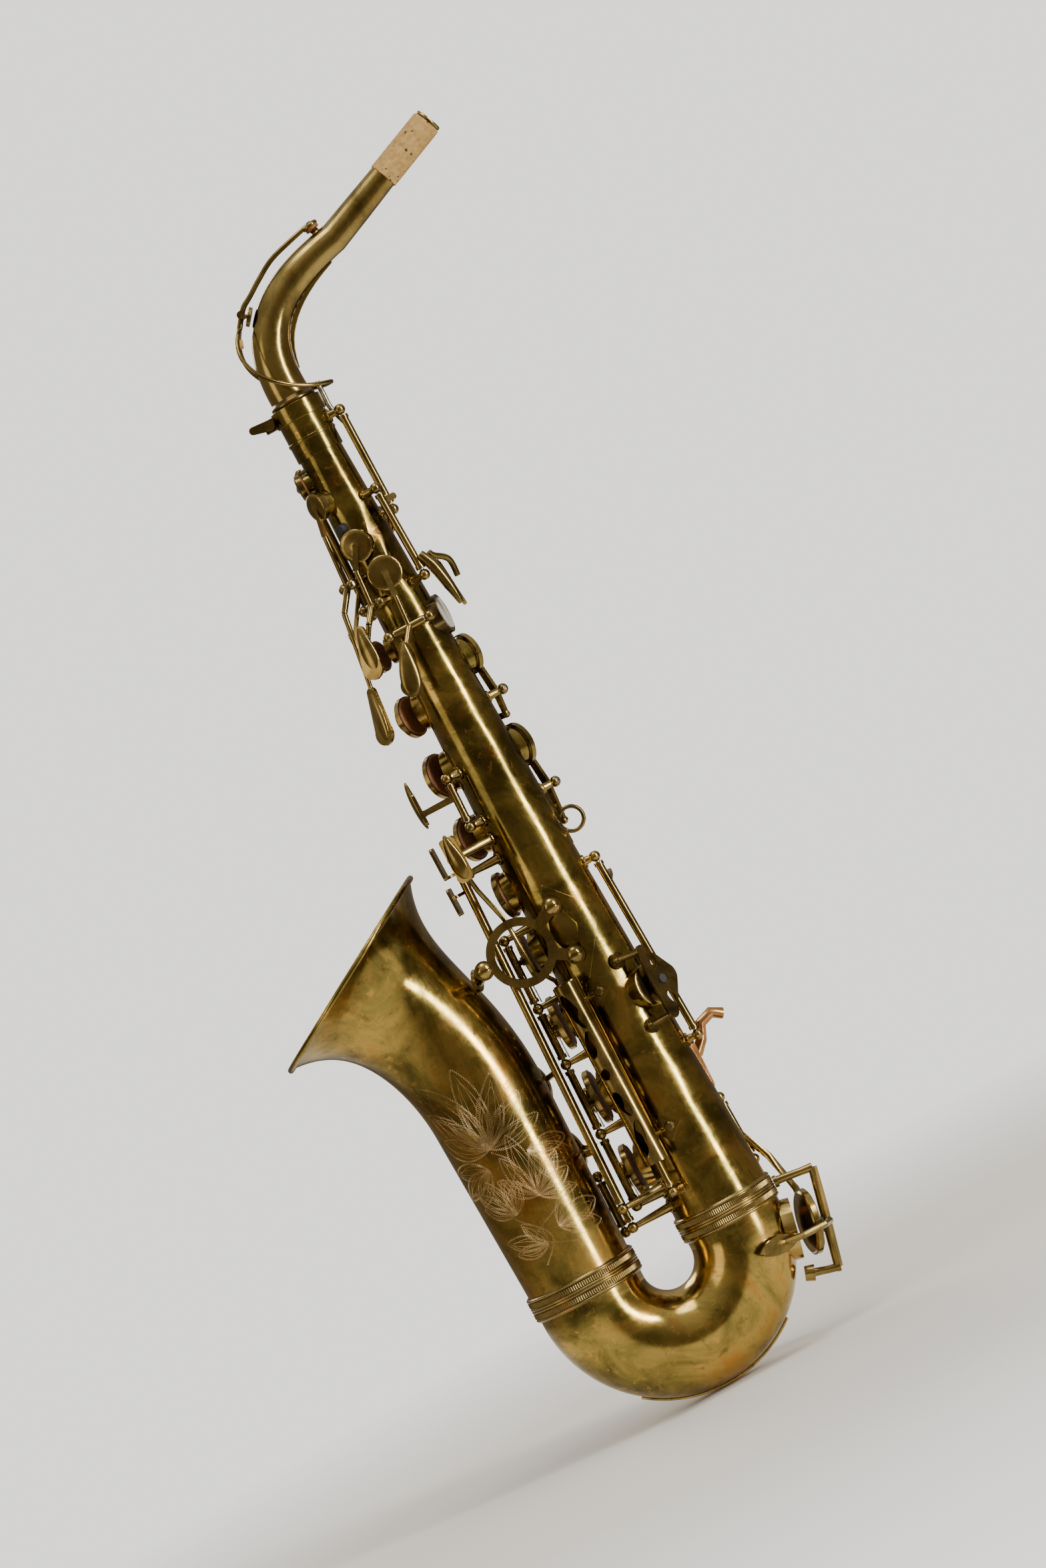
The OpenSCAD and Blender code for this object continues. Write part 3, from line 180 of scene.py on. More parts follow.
def joined_parts(mesh):
    """The faces of each closed shell in a mesh of loose triangles, smallest shell first."""
    co = np.empty(len(mesh.vertices) * 3)
    mesh.vertices.foreach_get("co", co)
    _, same = np.unique(np.round(co.reshape(-1, 3) * 1e6), axis=0, return_inverse=True)
    same = same.reshape(-1)
    parent = list(range(same.max() + 1))

    def root(i):
        while parent[i] != i:
            parent[i] = parent[parent[i]]
            i = parent[i]
        return i

    for face in mesh.polygons:
        a = root(same[face.vertices[0]])
        for corner in face.vertices[1:]:
            parent[root(same[corner])] = a
    shells = {}
    for face in mesh.polygons:
        shells.setdefault(root(same[face.vertices[0]]), []).append(face.index)
    points = co.reshape(-1, 3)

    def spread(faces):
        own = points[[v for f in faces for v in mesh.polygons[f].vertices]]
        return float(np.linalg.norm(own.max(0) - own.min(0)))

    return sorted(shells.values(), key=spread)


def eased(piece, edge, angle=36):
    """Soft edges, and normals that keep the flat faces flat."""
    soft = piece.modifiers.new("eased edges", "BEVEL")
    soft.width, soft.segments, soft.limit_method = edge, 2, "ANGLE"
    soft.angle_limit = math.radians(angle)
    even = piece.modifiers.new("even faces", "WEIGHTED_NORMAL")
    even.keep_sharp = False


def clad(node, material, edge=0.00018, pad=None):
    """Keeps a part of the frame and gives it its finish; its smallest shell may be the pad."""
    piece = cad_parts[node]
    mesh = piece.data
    mesh.materials.clear()
    mesh.materials.append(material)
    if pad:
        mesh.materials.append(pad)
        shells = joined_parts(mesh)
        if len(shells) > 1:
            for face in shells[0]:
                mesh.polygons[face].material_index = 1
    mesh.polygons.foreach_set("use_smooth", [True] * len(mesh.polygons))
    merge = piece.modifiers.new("merged", "WELD")
    merge.merge_threshold = 2e-6
    if edge:
        eased(piece, edge)
    return piece


clad("body_tube", body_brass, 0.0001)

# Bow: the U-shaped bottom of the horn, pressed from brass in two halves and brazed.
# It takes the low C chimney on its back, and its outer curve carries a wear strip
# soldered on edge, where the horn would touch the ground.


def drawn_tube(name, stations, sides=96, filled=False):
    """A tube built ring by ring; each station is x, z, tilt in degrees, radius, in mm, in the plane of the bow."""
    bpy.ops.object.select_all(action="DESELECT")
    x, z, tilt, radius = stations[0]
    bpy.ops.mesh.primitive_circle_add(vertices=sides, radius=radius / 1000, location=at(x, 0, z),
                                      rotation=(0, math.radians(tilt),
                                                0), fill_type="NGON" if filled else "NOTHING")
    piece = bpy.context.object
    piece.name = piece.data.name = name
    bpy.ops.object.transform_apply(location=True, rotation=True, scale=True)
    bpy.ops.object.mode_set(mode="EDIT")
    bpy.ops.mesh.select_all(action="SELECT")
    for x1, z1, tilt1, radius1 in stations[1:]:
        here = at(x1, 0, z1)
        bpy.ops.mesh.extrude_region_move(TRANSFORM_OT_translate={"value": here - at(x, 0, z)})
        grow = radius1 / radius
        bpy.ops.transform.resize(value=(grow,) * 3, center_override=here)
        if abs(tilt1 - tilt) > 1e-6:
            bpy.ops.transform.rotate(value=-math.radians(tilt1 - tilt), orient_axis="Y",
                                     center_override=here)
        x, z, tilt, radius = x1, z1, tilt1, radius1
    bpy.ops.mesh.select_all(action="SELECT")
    bpy.ops.mesh.normals_make_consistent(inside=False)
    bpy.ops.object.mode_set(mode="OBJECT")
    piece.data.polygons.foreach_set("use_smooth", [True] * len(piece.data.polygons))
    return piece


def applied(piece, kind, **settings):
    bpy.ops.object.select_all(action="DESELECT")
    bpy.context.view_layer.objects.active = piece
    piece.select_set(True)
    change = piece.modifiers.new(kind, kind)
    for key, value in settings.items():
        setattr(change, key, value)
    bpy.ops.object.modifier_apply(modifier=change.name)
    return piece


def turned(name, profile, base, axis, sides=48, filled=True):
    """A turned piece: profile holds radius and height in mm, along an axis from its base."""
    bpy.ops.object.select_all(action="DESELECT")
    radius, height = profile[0]
    bpy.ops.mesh.primitive_circle_add(vertices=sides, radius=radius / 1000, location=(0, 0, height / 1000),
                                      fill_type="NGON" if filled else "NOTHING")
    piece = bpy.context.object
    piece.name = piece.data.name = name
    bpy.ops.object.transform_apply(location=True, rotation=False, scale=False)
    bpy.ops.object.mode_set(mode="EDIT")
    bpy.ops.mesh.select_all(action="SELECT")
    for radius1, height1 in profile[1:]:
        bpy.ops.mesh.extrude_region_move(TRANSFORM_OT_translate={"value": (0, 0,
                                                                           (height1 - height) / 1000)})
        bpy.ops.transform.resize(value=(radius1 / radius,) * 3, center_override=(0, 0, height1 / 1000))
        radius, height = radius1, height1
    bpy.ops.mesh.select_all(action="SELECT")
    bpy.ops.mesh.normals_make_consistent(inside=False)
    bpy.ops.object.mode_set(mode="OBJECT")
    piece.data.transform(Matrix.Translation(base) @ Vector(axis).to_track_quat("Z",
                                                                               "Y").to_matrix().to_4x4())
    piece.data.polygons.foreach_set("use_smooth", [True] * len(piece.data.polygons))
    return piece


def fitted(piece, body, slot, material, *nodes):
    """Gives a finished piece its material and its body, and hides the parts of the frame that it stands for."""
    piece.data.materials.clear()
    piece.data.materials.append(material)
    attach(piece, body)
    if nodes:
        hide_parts(*nodes)
    return piece


def chimney(shell, centre, outward, bore, depth, height):
    """Joins a tone hole's chimney to a shell, then bores it."""
    rim = turned("chimney", [(bore + 1, 0), (bore + 1, depth + height)], centre - outward * depth / 1000,
                 outward, 72)
    hole = turned("bore", [(bore, 0), (bore, depth + 12)], centre - outward * (depth + 6) / 1000, outward,
                  72)
    applied(shell, "BOOLEAN", operation="UNION", object=rim, solver="EXACT")
    applied(shell, "BOOLEAN", operation="DIFFERENCE", object=hole, solver="EXACT")
    for tool in (rim, hole):
        bpy.data.objects.remove(tool)


bow_r, bow_drop, tube_small, tube_large = 43.8, 17.5, 27.5, 30.5
bow_rings = 72
turns = [180 * i / bow_rings for i in range(bow_rings + 1)]
bow = drawn_tube("bow_shell", [(0, 0, 180, tube_small)] + [
    (-bow_r + bow_r * math.cos(math.radians(a)), -bow_drop - bow_r * math.sin(math.radians(a)),
     180 + a, tube_small + (tube_large - tube_small) * a / 180) for a in turns] + [(-2 * bow_r, 0, 360,
                                                                                    tube_large)])
applied(bow, "SOLIDIFY", thickness=0.0008, offset=-1)
dip = math.radians(13)
low_c_out = Vector((math.cos(dip), 0, -math.sin(dip)))
low_c_face = at(-bow_r, 0, -bow_drop) + low_c_out * (bow_r + tube_small + 3 * 13 / 180) / 1000
chimney(bow, low_c_face, low_c_out, 16, 4.4, 2.5)
fitted(bow, "horn", "body_brass", body_brass, "bow")
eased(bow, 0.00015, 50)
clad("bow_wear_strip", body_brass, 0.0002)

# Bell: a spun brass flare, its rim rolled over a wire, with three chimneys on the side
# away from the player's left hand. The lower part is straight, then it leans forward.
bell_x, bell_z, lean, rim_r = -87.6, 202.0, 30.0, 61.5
bell_axis = Vector((-math.sin(math.radians(lean)), math.cos(math.radians(lean))))
rim_c = Vector((bell_x - 32.4, bell_z))
bell_line = [Vector((bell_x, bell_z / 2)), Vector((bell_x, 139)), rim_c - 38 * bell_axis, rim_c]


def bezier(line, t):
    a, b, c, d = line
    return a * (1 - t) ** 3 + b * 3 * t * (1 - t) ** 2 + c * 3 * t * t * (1 - t) + d * t ** 3


def bell_at(t):
    return Vector((bell_x, bell_z * t)) if t < 0.5 else bezier(bell_line, 2 * t - 1)


def bell_radius(t):
    return tube_large + 6 * t + 25 * t ** 13


def line_stations(centre, radius, steps):
    rows = []
    for t in steps:
        step = centre(min(t + 0.004, 1)) - centre(max(t - 0.004, 0))
        here = centre(t)
        rows.append((here.x, here.y, math.degrees(math.atan2(step.x, step.y)), radius(t)))
    return rows


bell = drawn_tube("bell_shell", line_stations(bell_at, bell_radius,
                                              [1 - (1 - i / 84) ** 1.5 for i in range(85)]), 144)
applied(bell, "SOLIDIFY", thickness=0.0008, offset=-1)
hole_turn = math.radians(76)
hole_out = Vector((math.cos(hole_turn), math.sin(hole_turn), 0))
for hole_z, hole_r in ((21, 13.6), (58, 16.6), (99, 17.4)):
    wall = tube_large + 6 * hole_z / bell_z
    chimney(bell, at(bell_x, 0, hole_z) + hole_out * wall / 1000, hole_out, hole_r, 5, 2.5)
bpy.ops.object.select_all(action="DESELECT")
rim_place = at(rim_c.x, 0, rim_c.y)
bpy.ops.mesh.primitive_torus_add(major_segments=160, minor_segments=20, major_radius=rim_r / 1000,
                                 minor_radius=0.0017,
                                 location=rim_place, rotation=(0, -math.radians(lean), 0))
roll = bpy.context.object
bpy.ops.object.transform_apply(location=True, rotation=True, scale=True)
roll.data.polygons.foreach_set("use_smooth", [True] * len(roll.data.polygons))
bpy.ops.object.select_all(action="DESELECT")
bell.select_set(True)
roll.select_set(True)
bpy.context.view_layer.objects.active = bell
bpy.ops.object.join()
fitted(bell, "horn", "body_brass", body_brass, "bell")
eased(bell, 0.00012, 50)

# Bell engraving: flowers and leaves cut by hand with a rocking graver, which leaves a
# fine zigzag line. The cuts are newer than the tarnish, so they catch the light.
cut_brass, cut_tree, cut_shader, cut_place = new_material("cut_brass", 1.0, Roughness=0.3)
cut_tree.links.new(ramp(cut_tree, noise(cut_tree, cut_place, 60), [(0.35, (0.22, 0.15, 0.06)),
                                                                   (0.5, (0.55, 0.38, 0.18)), (0.62,
                                                                                               (0.95, 0.70, 0.40))]),
                   cut_shader.inputs["Base Color"])


def petal(base, angle, length, width, curl=0.0, tip=1.0):
    """The outline of a petal, out along one side and back along the other."""
    rows = []
    for side in (1, -1):
        steps = [i / 14 for i in range(15)]
        for t in steps if side > 0 else steps[::-1]:
            u = length * t
            v = side * width / 2 * math.sin(math.pi * t ** tip) ** 0.8 + curl * t * t
            c, s = math.cos(angle), math.sin(angle)
            rows.append((base[0] + u * c - v * s, base[1] + u * s + v * c))
    return rows


def zigzag(line, pitch=1.15, swing=0.5):
    """Turns a line into the graver's zigzag."""
    out, side, left = [], 1, 0.0
    for (x0, z0), (x1, z1) in zip(line, line[1:]):
        run = math.hypot(x1 - x0, z1 - z0)
        if run < 1e-9:
            continue
        nx, nz = -(z1 - z0) / run, (x1 - x0) / run
        while left < run:
            t = left / run
            out.append((x0 + (x1 - x0) * t + side * swing * nx, z0 + (z1 - z0) * t + side * swing * nz))
            side = -side
            left += pitch / 2
        left -= run
    return out


def on_bell(s, z):
    """A place on the bell, s mm round from its front and z mm up its centre line."""
    t = z / bell_z
    c, step, wall = bell_at(t), (bell_at(t + 0.004) - bell_at(t - 0.004)).normalized(), bell_radius(t) + 0.02
    side, front = wall * math.sin(s / wall), wall * math.cos(s / wall)
    return at(c.x + step.y * side, -front, c.y - step.x * side)


def bloom(x, z, size, turn, petals):
    """Petals from one centre: the cut outlines, and the fine shading strokes inside them."""
    rows = [(petal((x, z), turn + math.radians(a), size * k, size * w, size * c), True) for a, k, w,
            c in petals]
    for a, k, w, c in petals:
        for share in (0.3, 0.7):
            rows.append((petal((x, z), turn + math.radians(a), size * k * (1 - share * 0.25),
                               size * w * share,
                               size * c), False))
    return rows


full_flower = [(-92, 0.7, 0.22, 0.1), (-62, 0.72, 0.26, 0.05), (-34, 0.8, 0.27, 0), (-8, 0.95, 0.28, 0),
               (18, 1.1, 0.3, 0.02), (44, 0.85, 0.27, -0.1), (72, 0.7, 0.25, -0.1), (-46, 0.5, 0.16, 0),
               (-20, 0.56, 0.16, 0), (6, 0.6, 0.16, 0), (32, 0.55, 0.16, 0)]
cuts = bloom(-10, 84, 50, math.radians(92), full_flower)
cuts += bloom(2, 50, 34, math.radians(72), full_flower[:7])
cuts += bloom(-14, 46, 26, math.radians(118), full_flower[1:6])
cuts += bloom(8, 74, 32, math.radians(-32), [(0, 1, 0.36, 0.12), (26, 0.9, 0.3, 0), (-30, 0.7, 0.3, -0.1)])
cuts += bloom(-16, 74, 30, math.radians(196), [(0, 1, 0.36, 0.1), (-34, 0.9, 0.34, 0.1),
                                               (30, 0.8, 0.34, 0)])
cuts += bloom(4, 30, 30, math.radians(12), [(0, 1, 0.4, -0.1), (-36, 0.9, 0.36, 0.1), (34, 0.8, 0.34, 0)])
cuts += bloom(-6, 24, 26, math.radians(150), [(0, 1, 0.36, 0.15), (34, 0.8, 0.3, -0.1),
                                              (-40, 0.7, 0.3, 0.1)])
cuts += [([(-10 + 8 * math.sin(t / 7), 82 - t) for t in range(0, 70, 2)], True),
         ([(2 + 12 * math.sin(t / 10 + 1), 48 - t * 0.5) for t in range(0, 70, 2)], True)]
graver = bpy.data.curves.new("graver", "CURVE")
graver.dimensions = "3D"
graver.bevel_depth, graver.bevel_resolution = 0.00015, 0
for row, rocked in cuts:
    trail = [p for p in (zigzag(row) if rocked else row) if 8 < p[1] < 150]
    if len(trail) < 3:
        continue
    spline = graver.splines.new("POLY")
    spline.points.add(len(trail) - 1)
    for point, (s, z) in zip(spline.points, trail):
        point.co = (*on_bell(s, z), 1)
        point.radius = 1 if rocked else 0.45
bpy.ops.object.select_all(action="DESELECT")
engraving = bpy.data.objects.new("bell_engraving", graver)
bpy.context.scene.collection.objects.link(engraving)
bpy.context.view_layer.objects.active = engraving
engraving.select_set(True)
bpy.ops.object.convert(target="MESH")
fitted(bpy.context.object, "horn", "body_brass", cut_brass)

# Ferrules: sleeves sweated over the bow's two joints, each with two ribbed bands between
# smooth beads. The ribs are fine and straight, rolled into the band, dark in their grooves.
dark_brass = aged_brass("dark_brass", [
    (0.32, (0.05, 0.034, 0.013)), (0.48, (0.135, 0.10, 0.036)), (0.6, (0.24, 0.175, 0.06)),
    (0.8, (0.36, 0.25, 0.08))], patch=30, rough=(0.18, 0.32), grime=0.25, fine=3, edge=0.35)


def knurled(name, x, inner, node):
    bands = ((2.2, 5.2), (8.8, 11.8))
    profile = [(inner + 0.02, 0), (inner + 0.8, 0), (inner + 1, 0.2)]
    for low, high in bands:
        profile += [(inner + 1 + 0.75 * math.sin(math.pi * i / 6),
                     low - 1.9 + 1.7 * i / 6) for i in range(7)]
        profile += [(inner + 1, low), (inner + 1.42, low + 0.2), (inner + 1.42, high - 0.2),
                    (inner + 1, high)]
        profile += [(inner + 1 + 0.75 * math.sin(math.pi * i / 6),
                     high + 0.2 + 1.7 * i / 6) for i in range(7)]
    profile += [(inner + 1, 13.8), (inner + 0.8, 14), (inner + 0.02, 14)]
    sleeve = turned(name, profile, at(x, 0, -13.5), (0, 0, 1), 600, filled=False)
    bpy.ops.object.mode_set(mode="EDIT")
    bpy.ops.mesh.select_all(action="DESELECT")
    bpy.ops.mesh.select_non_manifold()
    bpy.ops.mesh.bridge_edge_loops()
    bpy.ops.mesh.select_all(action="SELECT")
    bpy.ops.mesh.normals_make_consistent(inside=False)
    bpy.ops.object.mode_set(mode="OBJECT")
    axis = at(x, 0, 0)
    for v in sleeve.data.vertices:
        out = Vector((v.co.x - axis.x, v.co.y - axis.y, 0))
        if abs(out.length * 1000 - inner - 1.42) < 0.005:
            groove = abs(math.sin(math.atan2(out.y, out.x) * 75))
            v.co += out.normalized() * (0.4 * groove - 0.12) / 1000
    sleeve.data.polygons.foreach_set("use_smooth", [True] * len(sleeve.data.polygons))
    applied(sleeve, "EDGE_SPLIT", split_angle=math.radians(40))
    return fitted(sleeve, "horn", "dark_brass", dark_brass, node)


knurled("body_ferrule_knurled", 0, 27.5, "body_ferrule")
knurled("bell_ferrule_knurled", bell_x, 30.85, "bell_ferrule")

# Neck: a drawn and bent brass tube with its own octave pip, a stiffening fin inside the
# bend, and a tenon that turns in the receiver. The fin and the pip are silver soldered.
neck_line = [Vector(p) for p in ((0, 493), (-3, 536), (20, 551), (62, 560))]
cork_base = Vector((101, 576.5))
neck_dir = (cork_base - neck_line[3]).normalized()
neck_brass = aged_brass("neck_brass", [
    (0.14, (0.12, 0.085, 0.026)), (0.27, (0.22, 0.160, 0.045)), (0.4, (0.35, 0.255, 0.080)),
    (0.62, (0.42, 0.28, 0.075))], patch=26, rough=(0.12, 0.27), grime=0.4, specks=0.3)
neck_tilt = math.degrees(math.atan2(neck_dir.x, neck_dir.y))
neck = drawn_tube("neck_shell", [(0, 490.4, 0, 11.6)]
                  + line_stations(lambda t: bezier(neck_line, t), lambda t: 11.6 - 3.1 * t,
                                  [i / 56 for i in range(57)])
                  + [(*(neck_line[3] + (cork_base - neck_line[3]) * k), neck_tilt,
                      8.5 - 0.9 * k) for k in (0.5, 1)]
                  + [(*(cork_base + neck_dir * d), neck_tilt, r) for d, r in
                     ((38.1, 6.95), (38.2, 7.4), (38.5, 7.65), (39.7, 7.65), (40.0, 7.3))], 96)
applied(neck, "SOLIDIFY", thickness=0.0008, offset=-1)
fitted(neck, "neck", "body_brass", neck_brass, "neck_tube")
collar = turned("neck_collar", [(9.6, -24), (10.5, -23.8), (10.5, 0.4), (12.6, 0.45), (13, 0.8), (13, 2.2),
                                (12.5, 2.7),
                                (11.9, 3.2), (11.45, 4.6), (11.1, 4.6), (9.7, 0), (9.6, -24)],
                at(0, 0, 490.1), (0, 0, 1), 96, filled=False)
fitted(collar, "neck", "body_brass", dark_brass)
pip_top, cup_dir = (54.4, 0, 566.6), Vector((-0.233, 0, 0.972))
pip = turned("octave_pip", [(3.4, -2.4), (3.1, 0.1), (2.5, 0.6), (2.4, 2.1), (1.7, 2.2), (0.9, 2.0)],
             at(*pip_top), cup_dir, 32)
fitted(pip, "neck", "body_brass", neck_brass)
clad("neck_brace", neck_brass, 0.0003)
clad("neck_octave_saddle", neck_brass, 0.0002)
clad("neck_receiver", body_brass, 0.0002)

# Mouthpiece cork: natural sheet cork glued round the neck and sanded to a slight taper.
# It has dark lenticel pits, and its colour has browned with grease.
cork_stuff, cork_tree, cork_shader, cork_place = new_material("cork", 0.0, Roughness=0.86)
grain = noise(cork_tree, cork_place, 420, 6, 0.7)
cells = cork_tree.nodes.new("ShaderNodeTexVoronoi")
cells.inputs["Scale"].default_value = 210
wires(cork_tree, (cork_place, cells.inputs["Vector"]))
pits = ramp(cork_tree, math_node(cork_tree, "ADD", cells.outputs["Distance"],
                                 math_node(cork_tree, "MULTIPLY", grain, 0.35)),
            [(0.27, (1, 1, 1)), (0.36, (0, 0, 0))])
tan = ramp(cork_tree, grain, [(0.3, (0.30, 0.165, 0.045)), (0.5, (0.46, 0.28, 0.085)),
                              (0.72, (0.58, 0.38, 0.13))])
wires(cork_tree, (mixed(cork_tree, pits, tan, (0.07, 0.030, 0.010)), cork_shader.inputs["Base Color"]))
bumped(cork_tree, math_node(cork_tree, "SUBTRACT", grain, math_node(cork_tree, "MULTIPLY", pits, 1.4)), 0.6,
       0.0004, cork_shader)
cork_axis = Vector((neck_dir.x, 0, neck_dir.y))
cork = turned("neck_cork_sleeve", [(7.7, 0.1), (8.2, 0.1), (8.4, 0.5)] + [(8.4 - 0.1 * i / 20,
                                                                           0.5 + 1.82 * i) for i in range(21)]
              + [(8.15, 37.3), (7.7, 37.9)], at(cork_base.x, 0, cork_base.y), cork_axis, 128, filled=False)
applied(cork, "SOLIDIFY", thickness=0.0006, offset=-1)
fitted(cork, "neck", "cork", cork_stuff, "neck_cork")

# Octave keys: the neck's own key is a lever with a wide ring round the tenon; a pin on the
# body pushes the ring. Both are hard brass, and the body's pin is bright steel.
key_brass = aged_brass("key_brass", [
    (0.30, (0.10, 0.068, 0.020)), (0.45, (0.20, 0.142, 0.042)), (0.58, (0.32, 0.225, 0.070)), (0.78,
                                                                                               (0.44, 0.29, 0.085))],
    patch=30, rough=(0.14, 0.28), lift=0.15, grime=0.2, fine=3, edge=0.3)
steel, steel_tree, steel_shader, steel_place = new_material("steel", 1.0)
wires(steel_tree, (ramp(steel_tree, noise(steel_tree, steel_place, 160, 5, 0.65),
                        [(0.35, (0.30, 0.27, 0.22)),
                         (0.6, (0.58, 0.56, 0.52))]), steel_shader.inputs["Base Color"]),
      (ramp(steel_tree, noise(steel_tree, steel_place, 500), [(0.35, (0.2,) * 3), (0.7, (0.38,) * 3)]),
       steel_shader.inputs["Roughness"]))


def smooth_wire(name, points, radii, sides=16, closed=False):
    """A bent rod through points in mm, eased between them."""
    curve = bpy.data.curves.new(name, "CURVE")
    curve.dimensions = "3D"
    curve.bevel_depth, curve.bevel_resolution = 0.001, (sides - 4) // 2
    curve.use_fill_caps = True
    spline = curve.splines.new("POLY")
    spine = [Vector(p) for p in points]
    widths = radii if isinstance(radii, (list, tuple)) else [radii] * len(points)
    rows = []
    for i in range(len(spine) - 1):
        before = spine[max(i - 1, 0)]
        after = spine[min(i + 2, len(spine) - 1)]
        for k in range(6):
            t = k / 6
            a, b = spine[i], spine[i + 1]
            m0, m1 = (b - before) / 2, (after - a) / 2
            here = (a * (2 * t ** 3 - 3 * t * t + 1) + m0 * (t ** 3 - 2 * t * t + t)
                    + b * (3 * t * t - 2 * t ** 3) + m1 * (t ** 3 - t * t))
            rows.append((here, widths[i] + (widths[i + 1] - widths[i]) * t))
    rows.append((spine[-1], widths[-1]))
    spline.points.add(len(rows) - 1)
    for point, (here, width) in zip(spline.points, rows):
        point.co = (*at(*here), 1)
        point.radius = width
    spline.use_cyclic_u = closed
    bpy.ops.object.select_all(action="DESELECT")
    piece = bpy.data.objects.new(name, curve)
    bpy.context.scene.collection.objects.link(piece)
    bpy.context.view_layer.objects.active = piece
    piece.select_set(True)
    bpy.ops.object.convert(target="MESH")
    piece = bpy.context.object
    piece.data.polygons.foreach_set("use_smooth", [True] * len(piece.data.polygons))
    return piece


def merged(name, *pieces):
    """Brazes pieces together into one."""
    bpy.ops.object.select_all(action="DESELECT")
    for piece in pieces:
        piece.select_set(True)
    bpy.context.view_layer.objects.active = pieces[0]
    bpy.ops.object.join()
    pieces[0].name = pieces[0].data.name = name
    return pieces[0]


ring_line = [Vector(p) for p in ((-7, 540), (-26, 519), (0, 494), (23.6, 491.5))]
ring_rows = []
for i in range(49):
    s = i / 48
    k = 2 * s if s < 0.5 else 2 - 2 * s
    here = bezier(ring_line, k)
    ring_rows.append((here.x, (1 if s < 0.5 else -1) * 20 * max(math.sin(math.pi * k), 0) ** 0.55, here.y))
pivot = (-2.8, 0, 546.2)
octave_ring = smooth_wire("octave_ring", ring_rows, 1.2, 12)
octave_arm = smooth_wire("octave_arm", [pivot, (1, 0, 550), (6, 0, 553), (15, 0, 559), (26, 0, 565.3),
                                        (40, 0, 569.5), (53, 0, 572.6)],
                         [1.7, 1.6, 1.5, 1.5, 1.45, 1.4, 1.3], 12)
octave_tube = turned("octave_tube", [(1.2, -2.8), (2.2, -2.75), (2.3, -2.2), (2.1, -1.6), (2.1, 1.6),
                                     (2.3, 2.2), (2.2, 2.75), (1.2, 2.8)],
                     at(*pivot), (0, 1, 0), 32)
octave_link = smooth_wire("octave_link", [pivot, (-5, 0, 543), (-7.2, 0, 540)], 1.6, 12)
pad_stand = 0.0025
octave_cup = turned("octave_cup", [(4.55, 1.9), (4.7, 2.1), (4.6, 3.3), (3.9, 3.9), (2.2, 4.3), (1.5, 4.9),
                                   (0.6, 5.1)],
                    at(*pip_top) + cup_dir * pad_stand, cup_dir, 40)
fitted(merged("neck_octave_lever", octave_ring, octave_arm, octave_tube, octave_link, octave_cup),
       "neck_octave", "key_brass", key_brass, "neck_octave_key")
pad_leather, pad_tree, pad_shader, pad_place = new_material("pad_leather", 0.0, Roughness=0.55)
hide = noise(pad_tree, pad_place, 900, 5, 0.6)
wires(pad_tree, (mixed(pad_tree, ramp(pad_tree, hide, [(0.35, (0, 0, 0)), (0.7, (0.8,) * 3)]),
                       ramp(pad_tree, noise(pad_tree, pad_place, 70), [(0.35, (0.155, 0.052, 0.014)),
                                                                       (0.65, (0.33, 0.125, 0.03))]),
                       (0.12, 0.045, 0.015)), pad_shader.inputs["Base Color"]))
bumped(pad_tree, hide, 0.3, 0.0003, pad_shader)
octave_pad = turned("neck_octave_pad", [(3.6, 0), (4, 0.4), (4, 1.9), (3.6, 2.1)],
                    at(*pip_top) + cup_dir * pad_stand, cup_dir, 32)
fitted(octave_pad, "neck_octave", "pad_leather", pad_leather)
stop_cork = turned("octave_stop_cork", [(2.2, 0), (2.5, 0.2), (2.6, 3.4), (2.3, 3.6)], at(-12.6, 0, 533.2),
                   (0.8, 0, -0.25), 24)
fitted(stop_cork, "neck_octave", "cork", cork_stuff)
clad("octave_lever", key_brass)
clad("octave_pin_key", key_brass)
fitted(smooth_wire("octave_lever_arm", [(26.2, -12.5, 384), (27.5, -11, 381.5), (34, -5.5, 376),
                                        (34.2, -2, 366)],
                   [1.75, 1.75, 1.75, 1.7]), "octave_lever", "key_brass", key_brass)
fitted(smooth_wire("octave_pin", [(20.2, -5.4, 462), (19.6, 2, 468), (16.4, 2.6, 479), (16.4, 2.6, 488),
                                  (16.4, 2.6, 495.4)],
                   [1.5, 1.5, 1.5, 1.5, 1.45]), "octave_pin", "steel", steel)
fitted(smooth_wire("octave_thumb_touch", [(21.2, -17.5, 385), (25, -17.6, 376), (27.6, -16.2, 363),
                                          (29, -14.5, 351.5)],
                   [2.6, 3.3, 3.0, 1.5]), "octave_lever", "key_brass", key_brass)
clad("clamp_screw", key_brass, 0.0004)

# Posts, rods and springs: posts are turned brass balls on flanges soldered to the body.
# The rods are silver steel, and blued needle springs lie beside them.
clad("key_posts", key_brass, 0.00012)
clad("hinge_rods", steel, 0.0002)
clad("needle_springs", steel, 0)

# Stack keys: cast cups on long tubes, brazed arms between them, with leather pads held by
# shellac. Most stand open on their springs. Their finger buttons hold shell discs.
pearl, pearl_tree, pearl_shader, pearl_place = new_material(
    "pearl", 0.0, Roughness=0.22, Coat_Weight=0.6, Coat_Roughness=0.08)
sheen = noise(pearl_tree, pearl_place, 130, 5, 0.6, 2.5)
wires(pearl_tree, (ramp(pearl_tree, sheen, [(0.3, (0.50, 0.44, 0.33)), (0.5, (0.74, 0.70, 0.58)),
                                            (0.62, (0.60, 0.66, 0.60)),
                                            (0.8, (0.82, 0.74, 0.66))]), pearl_shader.inputs["Base Color"]))
padded_keys = ("c_key", "gsharp_key", "fsharp_key", "f_key", "e_key", "d_key", "front_f_key", "high_e_key",
               "fsharp_trill_key", "side_c_key", "side_bb_key", "low_eb_key", "low_c_key", "low_csharp_key",
               "low_b_key", "low_bb_key", "palm_d_key", "palm_eb_key", "palm_f_key")
